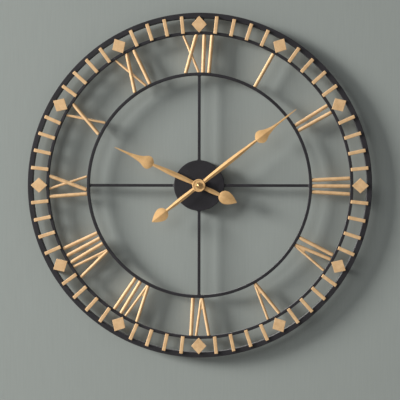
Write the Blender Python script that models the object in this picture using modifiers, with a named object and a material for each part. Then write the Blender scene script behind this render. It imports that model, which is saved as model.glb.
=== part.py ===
"""Skeleton wall clock: a black metal ring frame, gold numerals and hands, and a quartz movement.

Everything is drawn in dial space, as if the clock lay face up on a bench: x to the right, y towards
twelve, z away from the wall. One empty stands the dial up, so that in the world the face looks along
-Y, +Z is up, and the origin is on the hand axis in the plane of the wall.
"""

import math

import bmesh
import bpy
from mathutils import Matrix, Vector

MM = 0.001

# Clearances
SEAT_GAP = 0.3 * MM  # between pieces that touch
RUNNING_GAP = 0.2 * MM  # around a shaft that turns in a bore
END_SHAKE = 0.3 * MM  # at the end of an arbor
OVERCUT = 1 * MM  # how far a cutter reaches past the face it opens, or a joined shape into its neighbour

# Ring frame
CLOCK_RADIUS = 300 * MM
OUTER_RING_WIDTH = 9 * MM
OUTER_RING_DEPTH = 12 * MM
TRACK_BAND = 23.4 * MM  # open band between the outer and the middle ring
MIDDLE_RING_WIDTH = 5.2 * MM
NUMERAL_BAND = 66.2 * MM  # open band that the numerals stand in
INNER_RING_WIDTH = 5.2 * MM
RING_DEPTH = 7 * MM
RING_FRONT = 21 * MM  # height of the middle and inner ring fronts above the wall
SPOKE_WIDTH = 5 * MM  # of a square bar
RING_SIDES = 120
PIVOT_SIDES = 8
BORE_SIDES = 20  # also of shafts and pipes

# Minute track
BAR_WIDTH = 6.2 * MM
BAR_THICKNESS = 3 * MM
BAR_ROOT = 0.6  # share of the middle ring's width that a bar's inner end covers
BAR_LAP = 3.8 * MM  # how far a bar or diamond reaches over the outer ring
TRACK_SINK = 0.5 * MM  # how deep a bar or diamond is welded into the middle ring
DIAMOND_LENGTH = 29 * MM  # along the radius
DIAMOND_WIDTH = 26.5 * MM
DIAMOND_THICKNESS = 2.2 * MM

# Numerals
THICK_ROD = 3.2 * MM  # radii of the rods
THIN_ROD = 2.0 * MM
V_ROD = 2.6 * MM
I_PITCH = 3.0  # degrees between two neighbouring I strokes
X_TO_I = 5.5  # degrees from the middle of an X to the next I
V_TO_I = 4.4  # degrees from the point of a V to the next I
X_HALF_WIDTH = 11.6 * MM  # from the middle of an X to the middle of a rod's end
V_HALF_WIDTH = 11.3 * MM
V_POINT_HALF_WIDTH = 0.6 * MM
ROD_SIDES = 10
STROKE_OVERSHOOT = 3 * MM  # how far a stroke is drawn past each ring before it is trimmed
TRIM_WIDTH = 12 * MM  # width of the rings that trim the strokes
CROSSING_TWIST = 11.0  # degrees about its own axis, for the second rod of a V or an X

# Hub cover and the pieces that hold the movement in it
HUB_RADIUS = 44 * MM
HUB_WALL = 1.2 * MM
HUB_REAR = 3 * MM  # height of the cover's rim above the wall
BRASS_WASHER = 0.6 * MM
BRASS_RADIUS = 7.5 * MM
NUT_HEIGHT = 2.6 * MM
NUT_ACROSS_CORNERS = 13.2 * MM

# Hanging tab and wall pads
PAD_RADIUS = 3.7 * MM
PAD_ANGLES = (120, 240)
TAB_WIDTH = 16 * MM
TAB_LENGTH = 19 * MM
TAB_THICKNESS = 2 * MM
TAB_CHAMFER = 3.2 * MM  # of the two lower corners, which the diamond then covers
KEYHOLE_RADIUS = 4.5 * MM
KEYHOLE_SLOT = 2.1 * MM  # half the slot's width
KEYHOLE_RISE = 8 * MM  # from the middle of the round hole to the top of the slot
KEYHOLE_WALL = 3.2 * MM  # below the round hole

# Movement case
CASE_HALF_WIDTH = 28 * MM
TOP_ROOM = 2.125 * MM  # between the motion wheel's teeth and the top wall
BAY_ROOM = 2.44 * MM  # between the hour wheel's teeth and the wall of the battery bay
CASE_DEPTH = 20 * MM
CASE_SPLIT = 9 * MM  # where the rear case meets the front case
CASE_WALL = 1.5 * MM
BAY_WALL = 1.5 * MM  # between the gear train and the battery bay
BUSH_RADIUS = 4.0 * MM

# Battery
BATTERY_RADIUS = 7.0 * MM
BATTERY_LENGTH = 49.3 * MM
BATTERY_TIP_RADIUS = 2.7 * MM
BATTERY_TIP_LENGTH = 1.2 * MM
BATTERY_REAR = 0.8 * MM  # height of the battery above the wall
BAY_CLEARANCE = 0.8 * MM
CONTACT_THICKNESS = 0.5 * MM
CONTACT_HALF_WIDTH = 4.5 * MM

# Shafts
MINUTE_ARBOR_RADIUS = 1.4 * MM
HOUR_PIPE_WALL = 0.9 * MM
PIPE_SHOULDER = 0.8 * MM  # how far the hour wheel's shoulder stands out past the bush's bore
COLLAR_LEAD = 0.4 * MM  # how far a collar starts behind the teeth on it
PIVOT_LAP = 0.2 * MM  # how far a pivot reaches into the part of the shaft it steps up to
PIVOT_RADIUS = 0.6 * MM
KNOB_SHAFT_RADIUS = 1.5 * MM

# Hands
HOUR_ANGLE = 294.3  # degrees clockwise from twelve
MINUTE_ANGLE = 51.9
HAND_THICKNESS = 1.4 * MM
HAND_SPACING = 1.6 * MM
BOSS_STEP = 0.2 * MM  # how far the boss stands proud of the hand on each side
BOSS_RADIUS = 11.2 * MM
BOSS_SIDES = 32
CAP_RADIUS = 5.4 * MM
CAP_HEIGHT = 4.2 * MM
CAP_RIM = 0.35  # height of the cap nut's dome foot, as a share of its height
CAP_DOME = 0.62  # radius of the dome, as a share of the nut's
CAP_CHAMFER = 0.5 * MM
# Half an outline from the tail's point to the head's: (distance from the axis, half width, corner)
MINUTE_OUTLINE = (
    (-103, 0.3, "VECTOR"), (-93, 7.0, "AUTO"), (-81, 11.2, "AUTO"), (-73, 6.6, "AUTO"), (-70, 2.6, "VECTOR"),
    (-38, 4.0, "AUTO"), (-10, 3.3, "VECTOR"), (10, 3.3, "VECTOR"), (66, 4.5, "AUTO"), (126, 2.3, "VECTOR"),
    (129, 7.4, "AUTO"), (136, 11.4, "AUTO"), (150, 6.2, "AUTO"), (166, 2.5, "AUTO"), (192, 1.5, "AUTO"),
    (214, 0.4, "VECTOR"),
)
HOUR_OUTLINE = (
    (-72, 0.3, "VECTOR"), (-62, 7.0, "AUTO"), (-49, 11.2, "AUTO"), (-41, 6.6, "AUTO"), (-38, 3.0, "VECTOR"),
    (-24, 4.0, "AUTO"), (-10, 3.3, "VECTOR"), (10, 3.3, "VECTOR"), (46, 4.5, "AUTO"), (87, 2.3, "VECTOR"),
    (90, 7.4, "AUTO"), (96, 11.4, "AUTO"), (111, 6.0, "AUTO"), (131, 2.4, "AUTO"), (148, 1.3, "AUTO"),
    (161, 0.4, "VECTOR"),
)
OUTLINE_STEPS = 3

# Gears: tooth counts and modules. The hand train turns the hour wheel once in twelve turns of the arbor.
CANNON_TEETH, MOTION_TEETH, MOTION_PINION_TEETH, HOUR_TEETH, KNOB_TEETH = 12, 36, 10, 40, 12
CANNON_MODULE = 0.5 * MM
ROTOR_TEETH, STEP_TEETH = 6, 36
STEP_PINION_TEETH, SECONDS_TEETH = 6, 30
SECONDS_PINION_TEETH, THIRD_TEETH = 6, 45
THIRD_PINION_TEETH, DRIVE_TEETH = 6, 48
STEP_MODULE = 0.33 * MM
SECONDS_MODULE = 0.4 * MM
DRIVE_MODULE = 0.34 * MM
ADDENDUM = 0.75  # tooth height above the pitch circle, in modules
DEDENDUM = 1.15
TOOTH_ROOT, TOOTH_TIP = 0.40, 0.18  # tooth widths as shares of the pitch
MOTION_DIRECTION = 90.0  # directions between gear axes, in degrees from +x towards +y
KNOB_DIRECTION = 180.0
STEP_DIRECTION = 180.0
ROTOR_DIRECTION = 225.0
THIRD_DIRECTION = 0.0

# Heights of the gear layers above the wall
ROTOR_LAYER = (2.2 * MM, 3.7 * MM)
STEP_LAYER = (2.5 * MM, 3.3 * MM)
STEP_PINION_LAYER = (3.6 * MM, 5.3 * MM)
SECONDS_LAYER = (4.0 * MM, 4.8 * MM)
SECONDS_PINION_LAYER = (4.6 * MM, 6.7 * MM)
THIRD_LAYER = (5.6 * MM, 6.4 * MM)
THIRD_PINION_LAYER = (6.2 * MM, 8.7 * MM)
DRIVE_LAYER = (7.5 * MM, 8.3 * MM)
CANNON_LAYER = (9.6 * MM, 11.6 * MM)
MOTION_LAYER = (10.2 * MM, 11.0 * MM)
MOTION_PINION_LAYER = (10.8 * MM, 14.5 * MM)
HOUR_LAYER = (13.0 * MM, 13.8 * MM)
KNOB_PINION_LAYER = (9.6 * MM, 11.6 * MM)

# Knob, motor and circuit
KNOB_RADIUS = 4.8 * MM
KNOB_DEPTH = 1.6 * MM
KNOB_RECESS = 0.5 * MM  # how far the knob lies below the rear face
WELL_WALL = 0.8 * MM
MAGNET_RADIUS = 2.5 * MM
MAGNET_LAYER = (4.3 * MM, 6.5 * MM)
STATOR_LAYER = (4.7 * MM, 5.7 * MM)
STATOR_HOLE_RADIUS = 3.0 * MM
STATOR_HOLE_WALL = 0.7 * MM  # least metal beside the rotor hole
STATOR_LEG_WIDTH = 2.0 * MM
STATOR_LINK_WIDTH = 1.8 * MM
COIL_OFFSET = 21 * MM  # from the hand axis to the coil's axis
COIL_HALF_LENGTH = 6.4 * MM
COIL_RADIUS = 3.2 * MM
BOBBIN_RADIUS = 3.7 * MM
BOBBIN_FLANGE = 0.8 * MM
COIL_BORE_RADIUS = 1.45 * MM
BOARD_LAYER = (2.0 * MM, 3.2 * MM)
BOARD_WIDTH = 15 * MM
BOARD_SIDE_GAP = 0.5 * MM  # from the board to the case's side wall
BOARD_LOWER_GAP = 1.4 * MM  # from the board to the wall of the battery bay
BOARD_UPPER_GAP = 3.5 * MM  # from the board to the case's top wall
BLOB_RADIUS = 3.6 * MM
BLOB_HEIGHT = 1.1 * MM
BLOB_INSET = (5 * MM, 6 * MM)  # from the board's upper left corner to the blob's middle
CRYSTAL_RADIUS = 1.0 * MM
CRYSTAL_LENGTH = 6.5 * MM
CRYSTAL_INSET = (3 * MM, 4 * MM)  # from the board's lower right corner
MAGNET_STUB = 2 * MM  # how far the rotor's pivot reaches in front of its magnet

# Values that follow from the ones above
OUTER_INSIDE = CLOCK_RADIUS - OUTER_RING_WIDTH
MIDDLE_OUTSIDE = OUTER_INSIDE - TRACK_BAND
MIDDLE_INSIDE = MIDDLE_OUTSIDE - MIDDLE_RING_WIDTH
INNER_OUTSIDE = MIDDLE_INSIDE - NUMERAL_BAND
INNER_INSIDE = INNER_OUTSIDE - INNER_RING_WIDTH
RING_REAR = RING_FRONT - RING_DEPTH
RING_MIDDLE = RING_FRONT - RING_DEPTH / 2
OUTER_FRONT = RING_FRONT - TRACK_SINK - SEAT_GAP
OUTER_REAR = OUTER_FRONT - OUTER_RING_DEPTH
HUB_FRONT = CASE_DEPTH + SEAT_GAP + HUB_WALL
WASHER_REAR = HUB_FRONT + SEAT_GAP
NUT_REAR = WASHER_REAR + BRASS_WASHER + SEAT_GAP
NUT_FRONT = NUT_REAR + NUT_HEIGHT
HOUR_REAR = NUT_FRONT + HAND_SPACING
MINUTE_REAR = HOUR_REAR + HAND_THICKNESS + HAND_SPACING
CAP_REAR = MINUTE_REAR + HAND_THICKNESS + SEAT_GAP
CAP_BORE_DEPTH = CAP_HEIGHT / 2
PIPE_BORE_RADIUS = MINUTE_ARBOR_RADIUS + RUNNING_GAP
PIPE_RADIUS = PIPE_BORE_RADIUS + HOUR_PIPE_WALL
BUSH_BORE_RADIUS = PIPE_RADIUS + RUNNING_GAP
CLAMP_BORE_RADIUS = BUSH_RADIUS + SEAT_GAP
CASE_FLOOR = CASE_WALL  # inner side of the rear case
CASE_CEILING = CASE_DEPTH - CASE_WALL  # inner side of the front case
MOTION_DISTANCE = CANNON_MODULE * (CANNON_TEETH + MOTION_TEETH) / 2
HOUR_MODULE = 2 * MOTION_DISTANCE / (MOTION_PINION_TEETH + HOUR_TEETH)
MOTION_TIP = CANNON_MODULE * (MOTION_TEETH / 2 + ADDENDUM)
HOUR_TIP = HOUR_MODULE * (HOUR_TEETH / 2 + ADDENDUM)
TRAIN_BOTTOM = -HOUR_TIP - BAY_ROOM
BAY_TOP = TRAIN_BOTTOM - BAY_WALL
BATTERY_Y = BAY_TOP - BAY_CLEARANCE - BATTERY_RADIUS
CASE_BOTTOM = BATTERY_Y - BATTERY_RADIUS - BAY_CLEARANCE - CASE_WALL
CASE_TOP = MOTION_DISTANCE + MOTION_TIP + TOP_ROOM + CASE_WALL
THIRD_MODULE = DRIVE_MODULE * (THIRD_PINION_TEETH + DRIVE_TEETH) / (SECONDS_PINION_TEETH + THIRD_TEETH)

BLACK = ("black_powder_coat", (0.030, 0.028, 0.032), 0.55, 0.3)
GOLD = ("satin_gold_paint", (0.72, 0.47, 0.24), 0.38, 0.6)
BRASS = ("brass", (0.72, 0.52, 0.25), 0.3, 1.0)
STEEL = ("bright_steel", (0.55, 0.55, 0.56), 0.3, 1.0)
RUBBER = ("rubber", (0.02, 0.02, 0.02), 0.8, 0.0)
CASE_PLASTIC = ("black_plastic", (0.025, 0.025, 0.027), 0.5, 0.0)
GEAR_PLASTIC = ("white_plastic", (0.75, 0.74, 0.70), 0.45, 0.0)
COPPER = ("copper_wire", (0.70, 0.28, 0.12), 0.35, 1.0)
BOARD = ("circuit_board", (0.04, 0.22, 0.10), 0.5, 0.0)
MAGNET = ("magnet", (0.10, 0.10, 0.11), 0.4, 0.8)
CELL = ("battery_jacket", (0.45, 0.47, 0.50), 0.35, 0.6)


def clear_scene():
    for old in list(bpy.data.objects):
        bpy.data.objects.remove(old, do_unlink=True)


def new_collection(name):
    collection = bpy.data.collections.new(name)
    bpy.context.scene.collection.children.link(collection)
    return collection


def finish_of(finish):
    name, colour, roughness, metallic = finish
    material = bpy.data.materials.get(name) or bpy.data.materials.new(name)
    material.use_nodes = True
    shader = material.node_tree.nodes["Principled BSDF"]
    shader.inputs["Base Color"].default_value = (*colour, 1)
    shader.inputs["Roughness"].default_value = roughness
    shader.inputs["Metallic"].default_value = metallic
    return material


def add_object(name, data, parent=None):
    """Links an object into the helpers' collection; keep() moves the finished pieces out of it."""
    obj = bpy.data.objects.new(name, data)
    helpers.objects.link(obj)
    obj.parent = parent or dial
    obj.display_type = "WIRE"
    obj.hide_render = True
    return obj


def keep(obj, finish, round_piece=False):
    """Turns a helper into a piece of the clock."""
    obj.display_type = "TEXTURED"
    obj.hide_render = False
    helpers.objects.unlink(obj)
    clock.objects.link(obj)
    obj.data.materials.clear()
    obj.data.materials.append(finish_of(finish))
    if round_piece:
        obj.data.shade_smooth()
        obj.data.set_sharp_from_angle(angle=math.radians(40))
    return obj


def mesh_object(name, bm, parent=None):
    mesh = bpy.data.meshes.new(name)
    bm.to_mesh(mesh)
    bm.free()
    return add_object(name, mesh, parent)


def cylinder(name, radius, low, high, centre=(0, 0), sides=24, parent=None):
    bm = bmesh.new()
    place = Matrix.Translation((centre[0], centre[1], (low + high) / 2))
    bmesh.ops.create_cone(
        bm, cap_ends=True, segments=sides, radius1=radius, radius2=radius, depth=high - low, matrix=place
    )
    return mesh_object(name, bm, parent)


def rod(name, start, end, radius, sides, twist_deg=0.0):
    """A round rod between two points. A twist keeps its flats off those of a rod that crosses it."""
    along = Vector(end) - Vector(start)
    turn = along.to_track_quat("Z", "X").to_matrix().to_4x4()
    twist = Matrix.Rotation(math.radians(twist_deg), 4, "Z")
    bm = bmesh.new()
    bmesh.ops.create_cone(
        bm,
        cap_ends=True,
        segments=sides,
        radius1=radius,
        radius2=radius,
        depth=along.length,
        matrix=Matrix.Translation((Vector(start) + Vector(end)) / 2) @ turn @ twist,
    )
    return mesh_object(name, bm)


def add_box(bm, x, y, z, turn=None):
    """Adds a box between two values of x, y and z to a bmesh, then turns it about the dial's axis."""
    size = Matrix.Diagonal((x[1] - x[0], y[1] - y[0], z[1] - z[0], 1))
    place = Matrix.Translation((sum(x) / 2, sum(y) / 2, sum(z) / 2))
    bmesh.ops.create_cube(bm, size=1, matrix=(turn or Matrix()) @ place @ size)


def box(name, x, y, z, parent=None):
    bm = bmesh.new()
    add_box(bm, x, y, z)
    return mesh_object(name, bm, parent)


def turned(name, profile, sides, closed, parent=None):
    """A profile of (radius, height) points turned about z. It runs down the outer side of the piece."""
    bm = bmesh.new()
    points = [bm.verts.new((radius, 0, height)) for radius, height in profile]
    for first, second in zip(points, points[1:]):
        bm.edges.new((first, second))
    if closed:
        bm.edges.new((points[-1], points[0]))
    obj = mesh_object(name, bm, parent)
    screw = obj.modifiers.new("turn", "SCREW")
    screw.steps = sides
    screw.render_steps = sides
    screw.use_merge_vertices = True
    screw.merge_threshold = 0.00001
    return obj


def ring(name, inside, outside, rear, front, sides=RING_SIDES, parent=None):
    return turned(
        name, [(inside, front), (outside, front), (outside, rear), (inside, rear)], sides, True, parent
    )


def flat_plate(name, loops, low, high, parent=None):
    """A flat outline with a thickness: a filled 2D curve made a mesh. A loop is points or (point, kind)."""
    curve = bpy.data.curves.new(name, "CURVE")
    curve.dimensions = "2D"
    curve.fill_mode = "BOTH"
    curve.extrude = (high - low) / 2
    curve.resolution_u = OUTLINE_STEPS
    for loop in loops:
        smooth = len(loop[0]) == 3
        spline = curve.splines.new("BEZIER" if smooth else "POLY")
        spline.use_cyclic_u = True
        if not smooth:
            spline.points.add(len(loop) - 1)
            for point, (x, y) in zip(spline.points, loop):
                point.co = (x, y, 0, 1)
            continue
        spline.bezier_points.add(len(loop) - 1)
        for point, (x, y, kind) in zip(spline.bezier_points, loop):
            point.co = (x, y, 0)
            point.handle_left_type = kind
            point.handle_right_type = kind
    drawn = add_object(name + "_outline", curve, parent)
    drawn.location.z = (low + high) / 2
    bpy.context.view_layer.update()
    graph = bpy.context.evaluated_depsgraph_get()
    mesh = bpy.data.meshes.new_from_object(drawn.evaluated_get(graph))
    bm = bmesh.new()
    bm.from_mesh(mesh)
    bmesh.ops.remove_doubles(bm, verts=bm.verts, dist=0.000001)
    bm.to_mesh(mesh)
    bm.free()
    obj = add_object(name, mesh, parent)
    obj.matrix_world = drawn.matrix_world
    bpy.data.objects.remove(drawn, do_unlink=True)
    return obj


def combine(obj, others, operation):
    for other in others:
        boolean = obj.modifiers.new(other.name, "BOOLEAN")
        boolean.operation = operation
        boolean.solver = "EXACT"
        boolean.object = other
        other.name = f"{obj.name}_{operation.lower()}"
    return obj


def join(obj, *others):
    return combine(obj, others, "UNION")


def cut(obj, *others):
    return combine(obj, others, "DIFFERENCE")


def axis_empty(name, place=(0, 0), turn_deg=0.0):
    """The joint axis that a moving piece is parented to."""
    empty = bpy.data.objects.new(name, None)
    clock.objects.link(empty)
    empty.empty_display_size = HUB_RADIUS / 4
    empty.parent = dial
    empty.location = (place[0], place[1], 0)
    empty.rotation_euler.z = math.radians(turn_deg)
    return empty


def on_dial(radius, degrees):
    """The point at this radius and this many degrees clockwise from twelve."""
    angle = math.radians(degrees)
    return radius * math.sin(angle), radius * math.cos(angle)


def clockwise(degrees):
    return Matrix.Rotation(-math.radians(degrees), 4, "Z")


# Frame


def make_rings():
    keep(ring("outer_ring", OUTER_INSIDE, CLOCK_RADIUS, OUTER_REAR, OUTER_FRONT), BLACK, True)
    keep(ring("inner_ring", INNER_INSIDE, INNER_OUTSIDE, RING_REAR, RING_FRONT), BLACK, True)


def make_minute_track():
    """The middle ring with a bar at every minute and a diamond at every hour, welded to its front."""
    track = ring("minute_track", MIDDLE_INSIDE, MIDDLE_OUTSIDE, RING_REAR, RING_FRONT)
    low = RING_FRONT - TRACK_SINK
    bar_start = MIDDLE_OUTSIDE - MIDDLE_RING_WIDTH * BAR_ROOT
    bar_end = OUTER_INSIDE + BAR_LAP
    middle = (bar_start + bar_end) / 2
    bm = bmesh.new()
    for minute in range(60):
        if minute % 5:
            add_box(
                bm,
                (-BAR_WIDTH / 2, BAR_WIDTH / 2),
                (bar_start, bar_end),
                (low, low + BAR_THICKNESS),
                clockwise(6 * minute),
            )
            continue
        bmesh.ops.create_cone(
            bm,
            cap_ends=True,
            segments=4,
            radius1=0.5,
            radius2=0.5,
            depth=DIAMOND_THICKNESS,
            matrix=clockwise(6 * minute)
            @ Matrix.Translation((0, middle, low + DIAMOND_THICKNESS / 2))
            @ Matrix.Diagonal((DIAMOND_WIDTH, DIAMOND_LENGTH, 1, 1)),
        )
    keep(join(track, mesh_object("markers", bm)), BLACK)


def make_spokes():
    for name, degrees in (("top", 0), ("right", 90), ("bottom", 180), ("left", 270)):
        bm = bmesh.new()
        add_box(
            bm,
            (-SPOKE_WIDTH / 2, SPOKE_WIDTH / 2),
            (HUB_RADIUS + SEAT_GAP, INNER_INSIDE - SEAT_GAP),
            (RING_MIDDLE - SPOKE_WIDTH / 2, RING_MIDDLE + SPOKE_WIDTH / 2),
            clockwise(degrees),
        )
        keep(mesh_object(f"spoke_{name}", bm), BLACK)


def stroke(name, degrees, outer_shift, inner_shift, radius, twist_deg=0.0):
    """One rod of a numeral, from beyond the inner ring's edge to beyond the middle ring's."""
    outer_end = clockwise(degrees) @ Vector((outer_shift, MIDDLE_INSIDE, RING_MIDDLE))
    inner_end = clockwise(degrees) @ Vector((inner_shift, INNER_OUTSIDE, RING_MIDDLE))
    along = (outer_end - inner_end).normalized() * STROKE_OVERSHOOT
    return rod(name, inner_end - along, outer_end + along, radius, ROD_SIDES, twist_deg)


def make_numerals():
    """Each I, V and X is a piece of its own, trimmed to the two rings it is welded to."""
    rear = RING_MIDDLE - 2 * THICK_ROD
    front = RING_MIDDLE + 2 * THICK_ROD
    edge = MIDDLE_INSIDE - SEAT_GAP
    outside = ring("numeral_trim_outside", edge, edge + TRIM_WIDTH, rear, front)
    edge = INNER_OUTSIDE + SEAT_GAP
    inside = ring("numeral_trim_inside", edge - TRIM_WIDTH, edge, rear, front)
    # Letters with their places in degrees from the hour, and the turn that the maker gave the numeral.
    last_i = X_TO_I + I_PITCH
    numerals = {
        1: (-0.6, [("i", 0)]),
        2: (-0.5, [("i", -0.5 * I_PITCH), ("i", 0.5 * I_PITCH)]),
        3: (0.2, [("i", -I_PITCH), ("i", 0), ("i", I_PITCH)]),
        4: (1.0, [("i", -V_TO_I + 0.7), ("v", 0.7)]),
        5: (0.2, [("v", 0)]),
        6: (-0.8, [("v", -0.6), ("i", -0.6 + V_TO_I)]),
        7: (-0.75, [("v", -2.3), ("i", -2.3 + V_TO_I), ("i", -2.3 + V_TO_I + I_PITCH)]),
        8: (-1.2, [("v", -4.3)] + [("i", -4.3 + V_TO_I + step * I_PITCH) for step in range(3)]),
        9: (-0.1, [("i", -X_TO_I + 1.2), ("x", 1.2)]),
        10: (0.3, [("x", 0)]),
        11: (-0.2, [("x", -1.2), ("i", X_TO_I - 1.2)]),
        12: (-0.5, [("x", -3.1), ("i", X_TO_I - 3.1), ("i", last_i - 3.1)]),
    }
    for hour, (turn, letters) in numerals.items():
        counts = {}
        for letter, offset in letters:
            counts[letter] = counts.get(letter, 0) + 1
            number = str(counts[letter]) if sum(kind == letter for kind, _ in letters) > 1 else ""
            name = f"numeral_{hour}_{letter}{number}"
            degrees = 30 * hour + turn + offset
            if letter == "i":
                piece = stroke(name, degrees, 0, 0, THICK_ROD)
            elif letter == "v":
                piece = stroke(name, degrees, -V_HALF_WIDTH, -V_POINT_HALF_WIDTH, V_ROD)
                join(piece, stroke(name, degrees, V_HALF_WIDTH, V_POINT_HALF_WIDTH, V_ROD, CROSSING_TWIST))
            else:
                piece = stroke(name, degrees, X_HALF_WIDTH, -X_HALF_WIDTH, THICK_ROD)
                join(piece, stroke(name, degrees, -X_HALF_WIDTH, X_HALF_WIDTH, THIN_ROD, CROSSING_TWIST))
            for trim in (outside, inside):
                boolean = piece.modifiers.new(trim.name, "BOOLEAN")
                boolean.operation = "DIFFERENCE"
                boolean.solver = "EXACT"
                boolean.object = trim
            keep(piece, GOLD, True)
            piece.name = name


def make_hub():
    profile = [
        (CLAMP_BORE_RADIUS, HUB_FRONT),
        (HUB_RADIUS, HUB_FRONT),
        (HUB_RADIUS, HUB_REAR),
        (HUB_RADIUS - HUB_WALL, HUB_REAR),
        (HUB_RADIUS - HUB_WALL, HUB_FRONT - HUB_WALL),
        (CLAMP_BORE_RADIUS, HUB_FRONT - HUB_WALL),
    ]
    keep(turned("hub_cover", profile, 64, True), BLACK, True)
    washer = ring(
        "brass_washer", CLAMP_BORE_RADIUS, BRASS_RADIUS, WASHER_REAR, WASHER_REAR + BRASS_WASHER, 24
    )
    keep(washer, BRASS, True)
    nut = cylinder("fixing_nut", NUT_ACROSS_CORNERS / 2, NUT_REAR, NUT_FRONT, sides=6)
    cut(nut, cylinder("bore", CLAMP_BORE_RADIUS, NUT_REAR - OVERCUT, NUT_FRONT + OVERCUT))
    keep(nut, BRASS)


def make_fittings():
    """The keyhole tab that the clock hangs by, and the pads that hold the ring clear of the wall."""
    corner_drop = OUTER_INSIDE - math.sqrt(OUTER_INSIDE**2 - (TAB_WIDTH / 2) ** 2)
    top = OUTER_INSIDE - corner_drop - SEAT_GAP
    bottom = top - TAB_LENGTH
    tab_span = (OUTER_REAR, OUTER_REAR + TAB_THICKNESS)
    hole_y = bottom + KEYHOLE_WALL + KEYHOLE_RADIUS
    bm = bmesh.new()
    add_box(bm, (-TAB_WIDTH / 2, TAB_WIDTH / 2), (bottom, top), tab_span)
    corners = [
        edge
        for edge in bm.edges
        if all(vert.co.y < hole_y for vert in edge.verts) and edge.verts[0].co.x * edge.verts[1].co.x > 0
    ]
    bmesh.ops.bevel(bm, geom=corners, offset=TAB_CHAMFER, segments=1, profile=0.5, affect="EDGES")
    tab = mesh_object("hanging_tab", bm)
    slot_y = hole_y + KEYHOLE_RISE - KEYHOLE_SLOT
    through = (tab_span[0] - OVERCUT, tab_span[1] + OVERCUT)
    cut(
        tab,
        cylinder("head_hole", KEYHOLE_RADIUS, *through, centre=(0, hole_y)),
        box("slot", (-KEYHOLE_SLOT, KEYHOLE_SLOT), (hole_y, slot_y), through),
        cylinder("slot_end", KEYHOLE_SLOT, *through, centre=(0, slot_y), sides=16),
    )
    keep(tab, BLACK)
    pad_radius_on_ring = CLOCK_RADIUS - OUTER_RING_WIDTH / 2
    for number, degrees in enumerate(PAD_ANGLES, 1):
        centre = on_dial(pad_radius_on_ring, degrees)
        pad = cylinder(f"wall_pad_{number}", PAD_RADIUS, 0, OUTER_REAR - SEAT_GAP, centre, 16)
        keep(pad, RUBBER, True)


# Gears


def step_from(place, direction, distance):
    angle = math.radians(direction)
    return place[0] + distance * math.cos(angle), place[1] + distance * math.sin(angle)


def centre_distance(module, first, second):
    return module * (first + second) / 2


def meshed_phase(driver_teeth, driver_phase, direction, teeth):
    """The angle of a tooth of the second gear, for its teeth to lie in the driver's gaps."""
    pitch = 360 / driver_teeth
    ahead = (direction - driver_phase) % pitch
    return direction + 180 + ahead * driver_teeth / teeth + 180 / teeth


def tooth_outline(teeth, module, phase):
    pitch_radius = module * teeth / 2
    pitch = 2 * math.pi / teeth
    outer = pitch_radius + ADDENDUM * module
    root = pitch_radius - DEDENDUM * module
    points = []
    for tooth in range(teeth):
        middle = math.radians(phase) + tooth * pitch
        for radius, share in (
            (root, -TOOTH_ROOT / 2),
            (outer, -TOOTH_TIP / 2),
            (outer, TOOTH_TIP / 2),
            (root, TOOTH_ROOT / 2),
        ):
            angle = middle + share * pitch
            points.append((radius * math.cos(angle), radius * math.sin(angle)))
    return points


def toothed(name, teeth, module, phase, layer, parent, bore=None):
    loops = [tooth_outline(teeth, module, phase)]
    if bore:
        around = range(BORE_SIDES)
        loops.append([on_dial(bore, 360 * corner / len(around)) for corner in around])
    return flat_plate(name, loops, *layer, parent)


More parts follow.
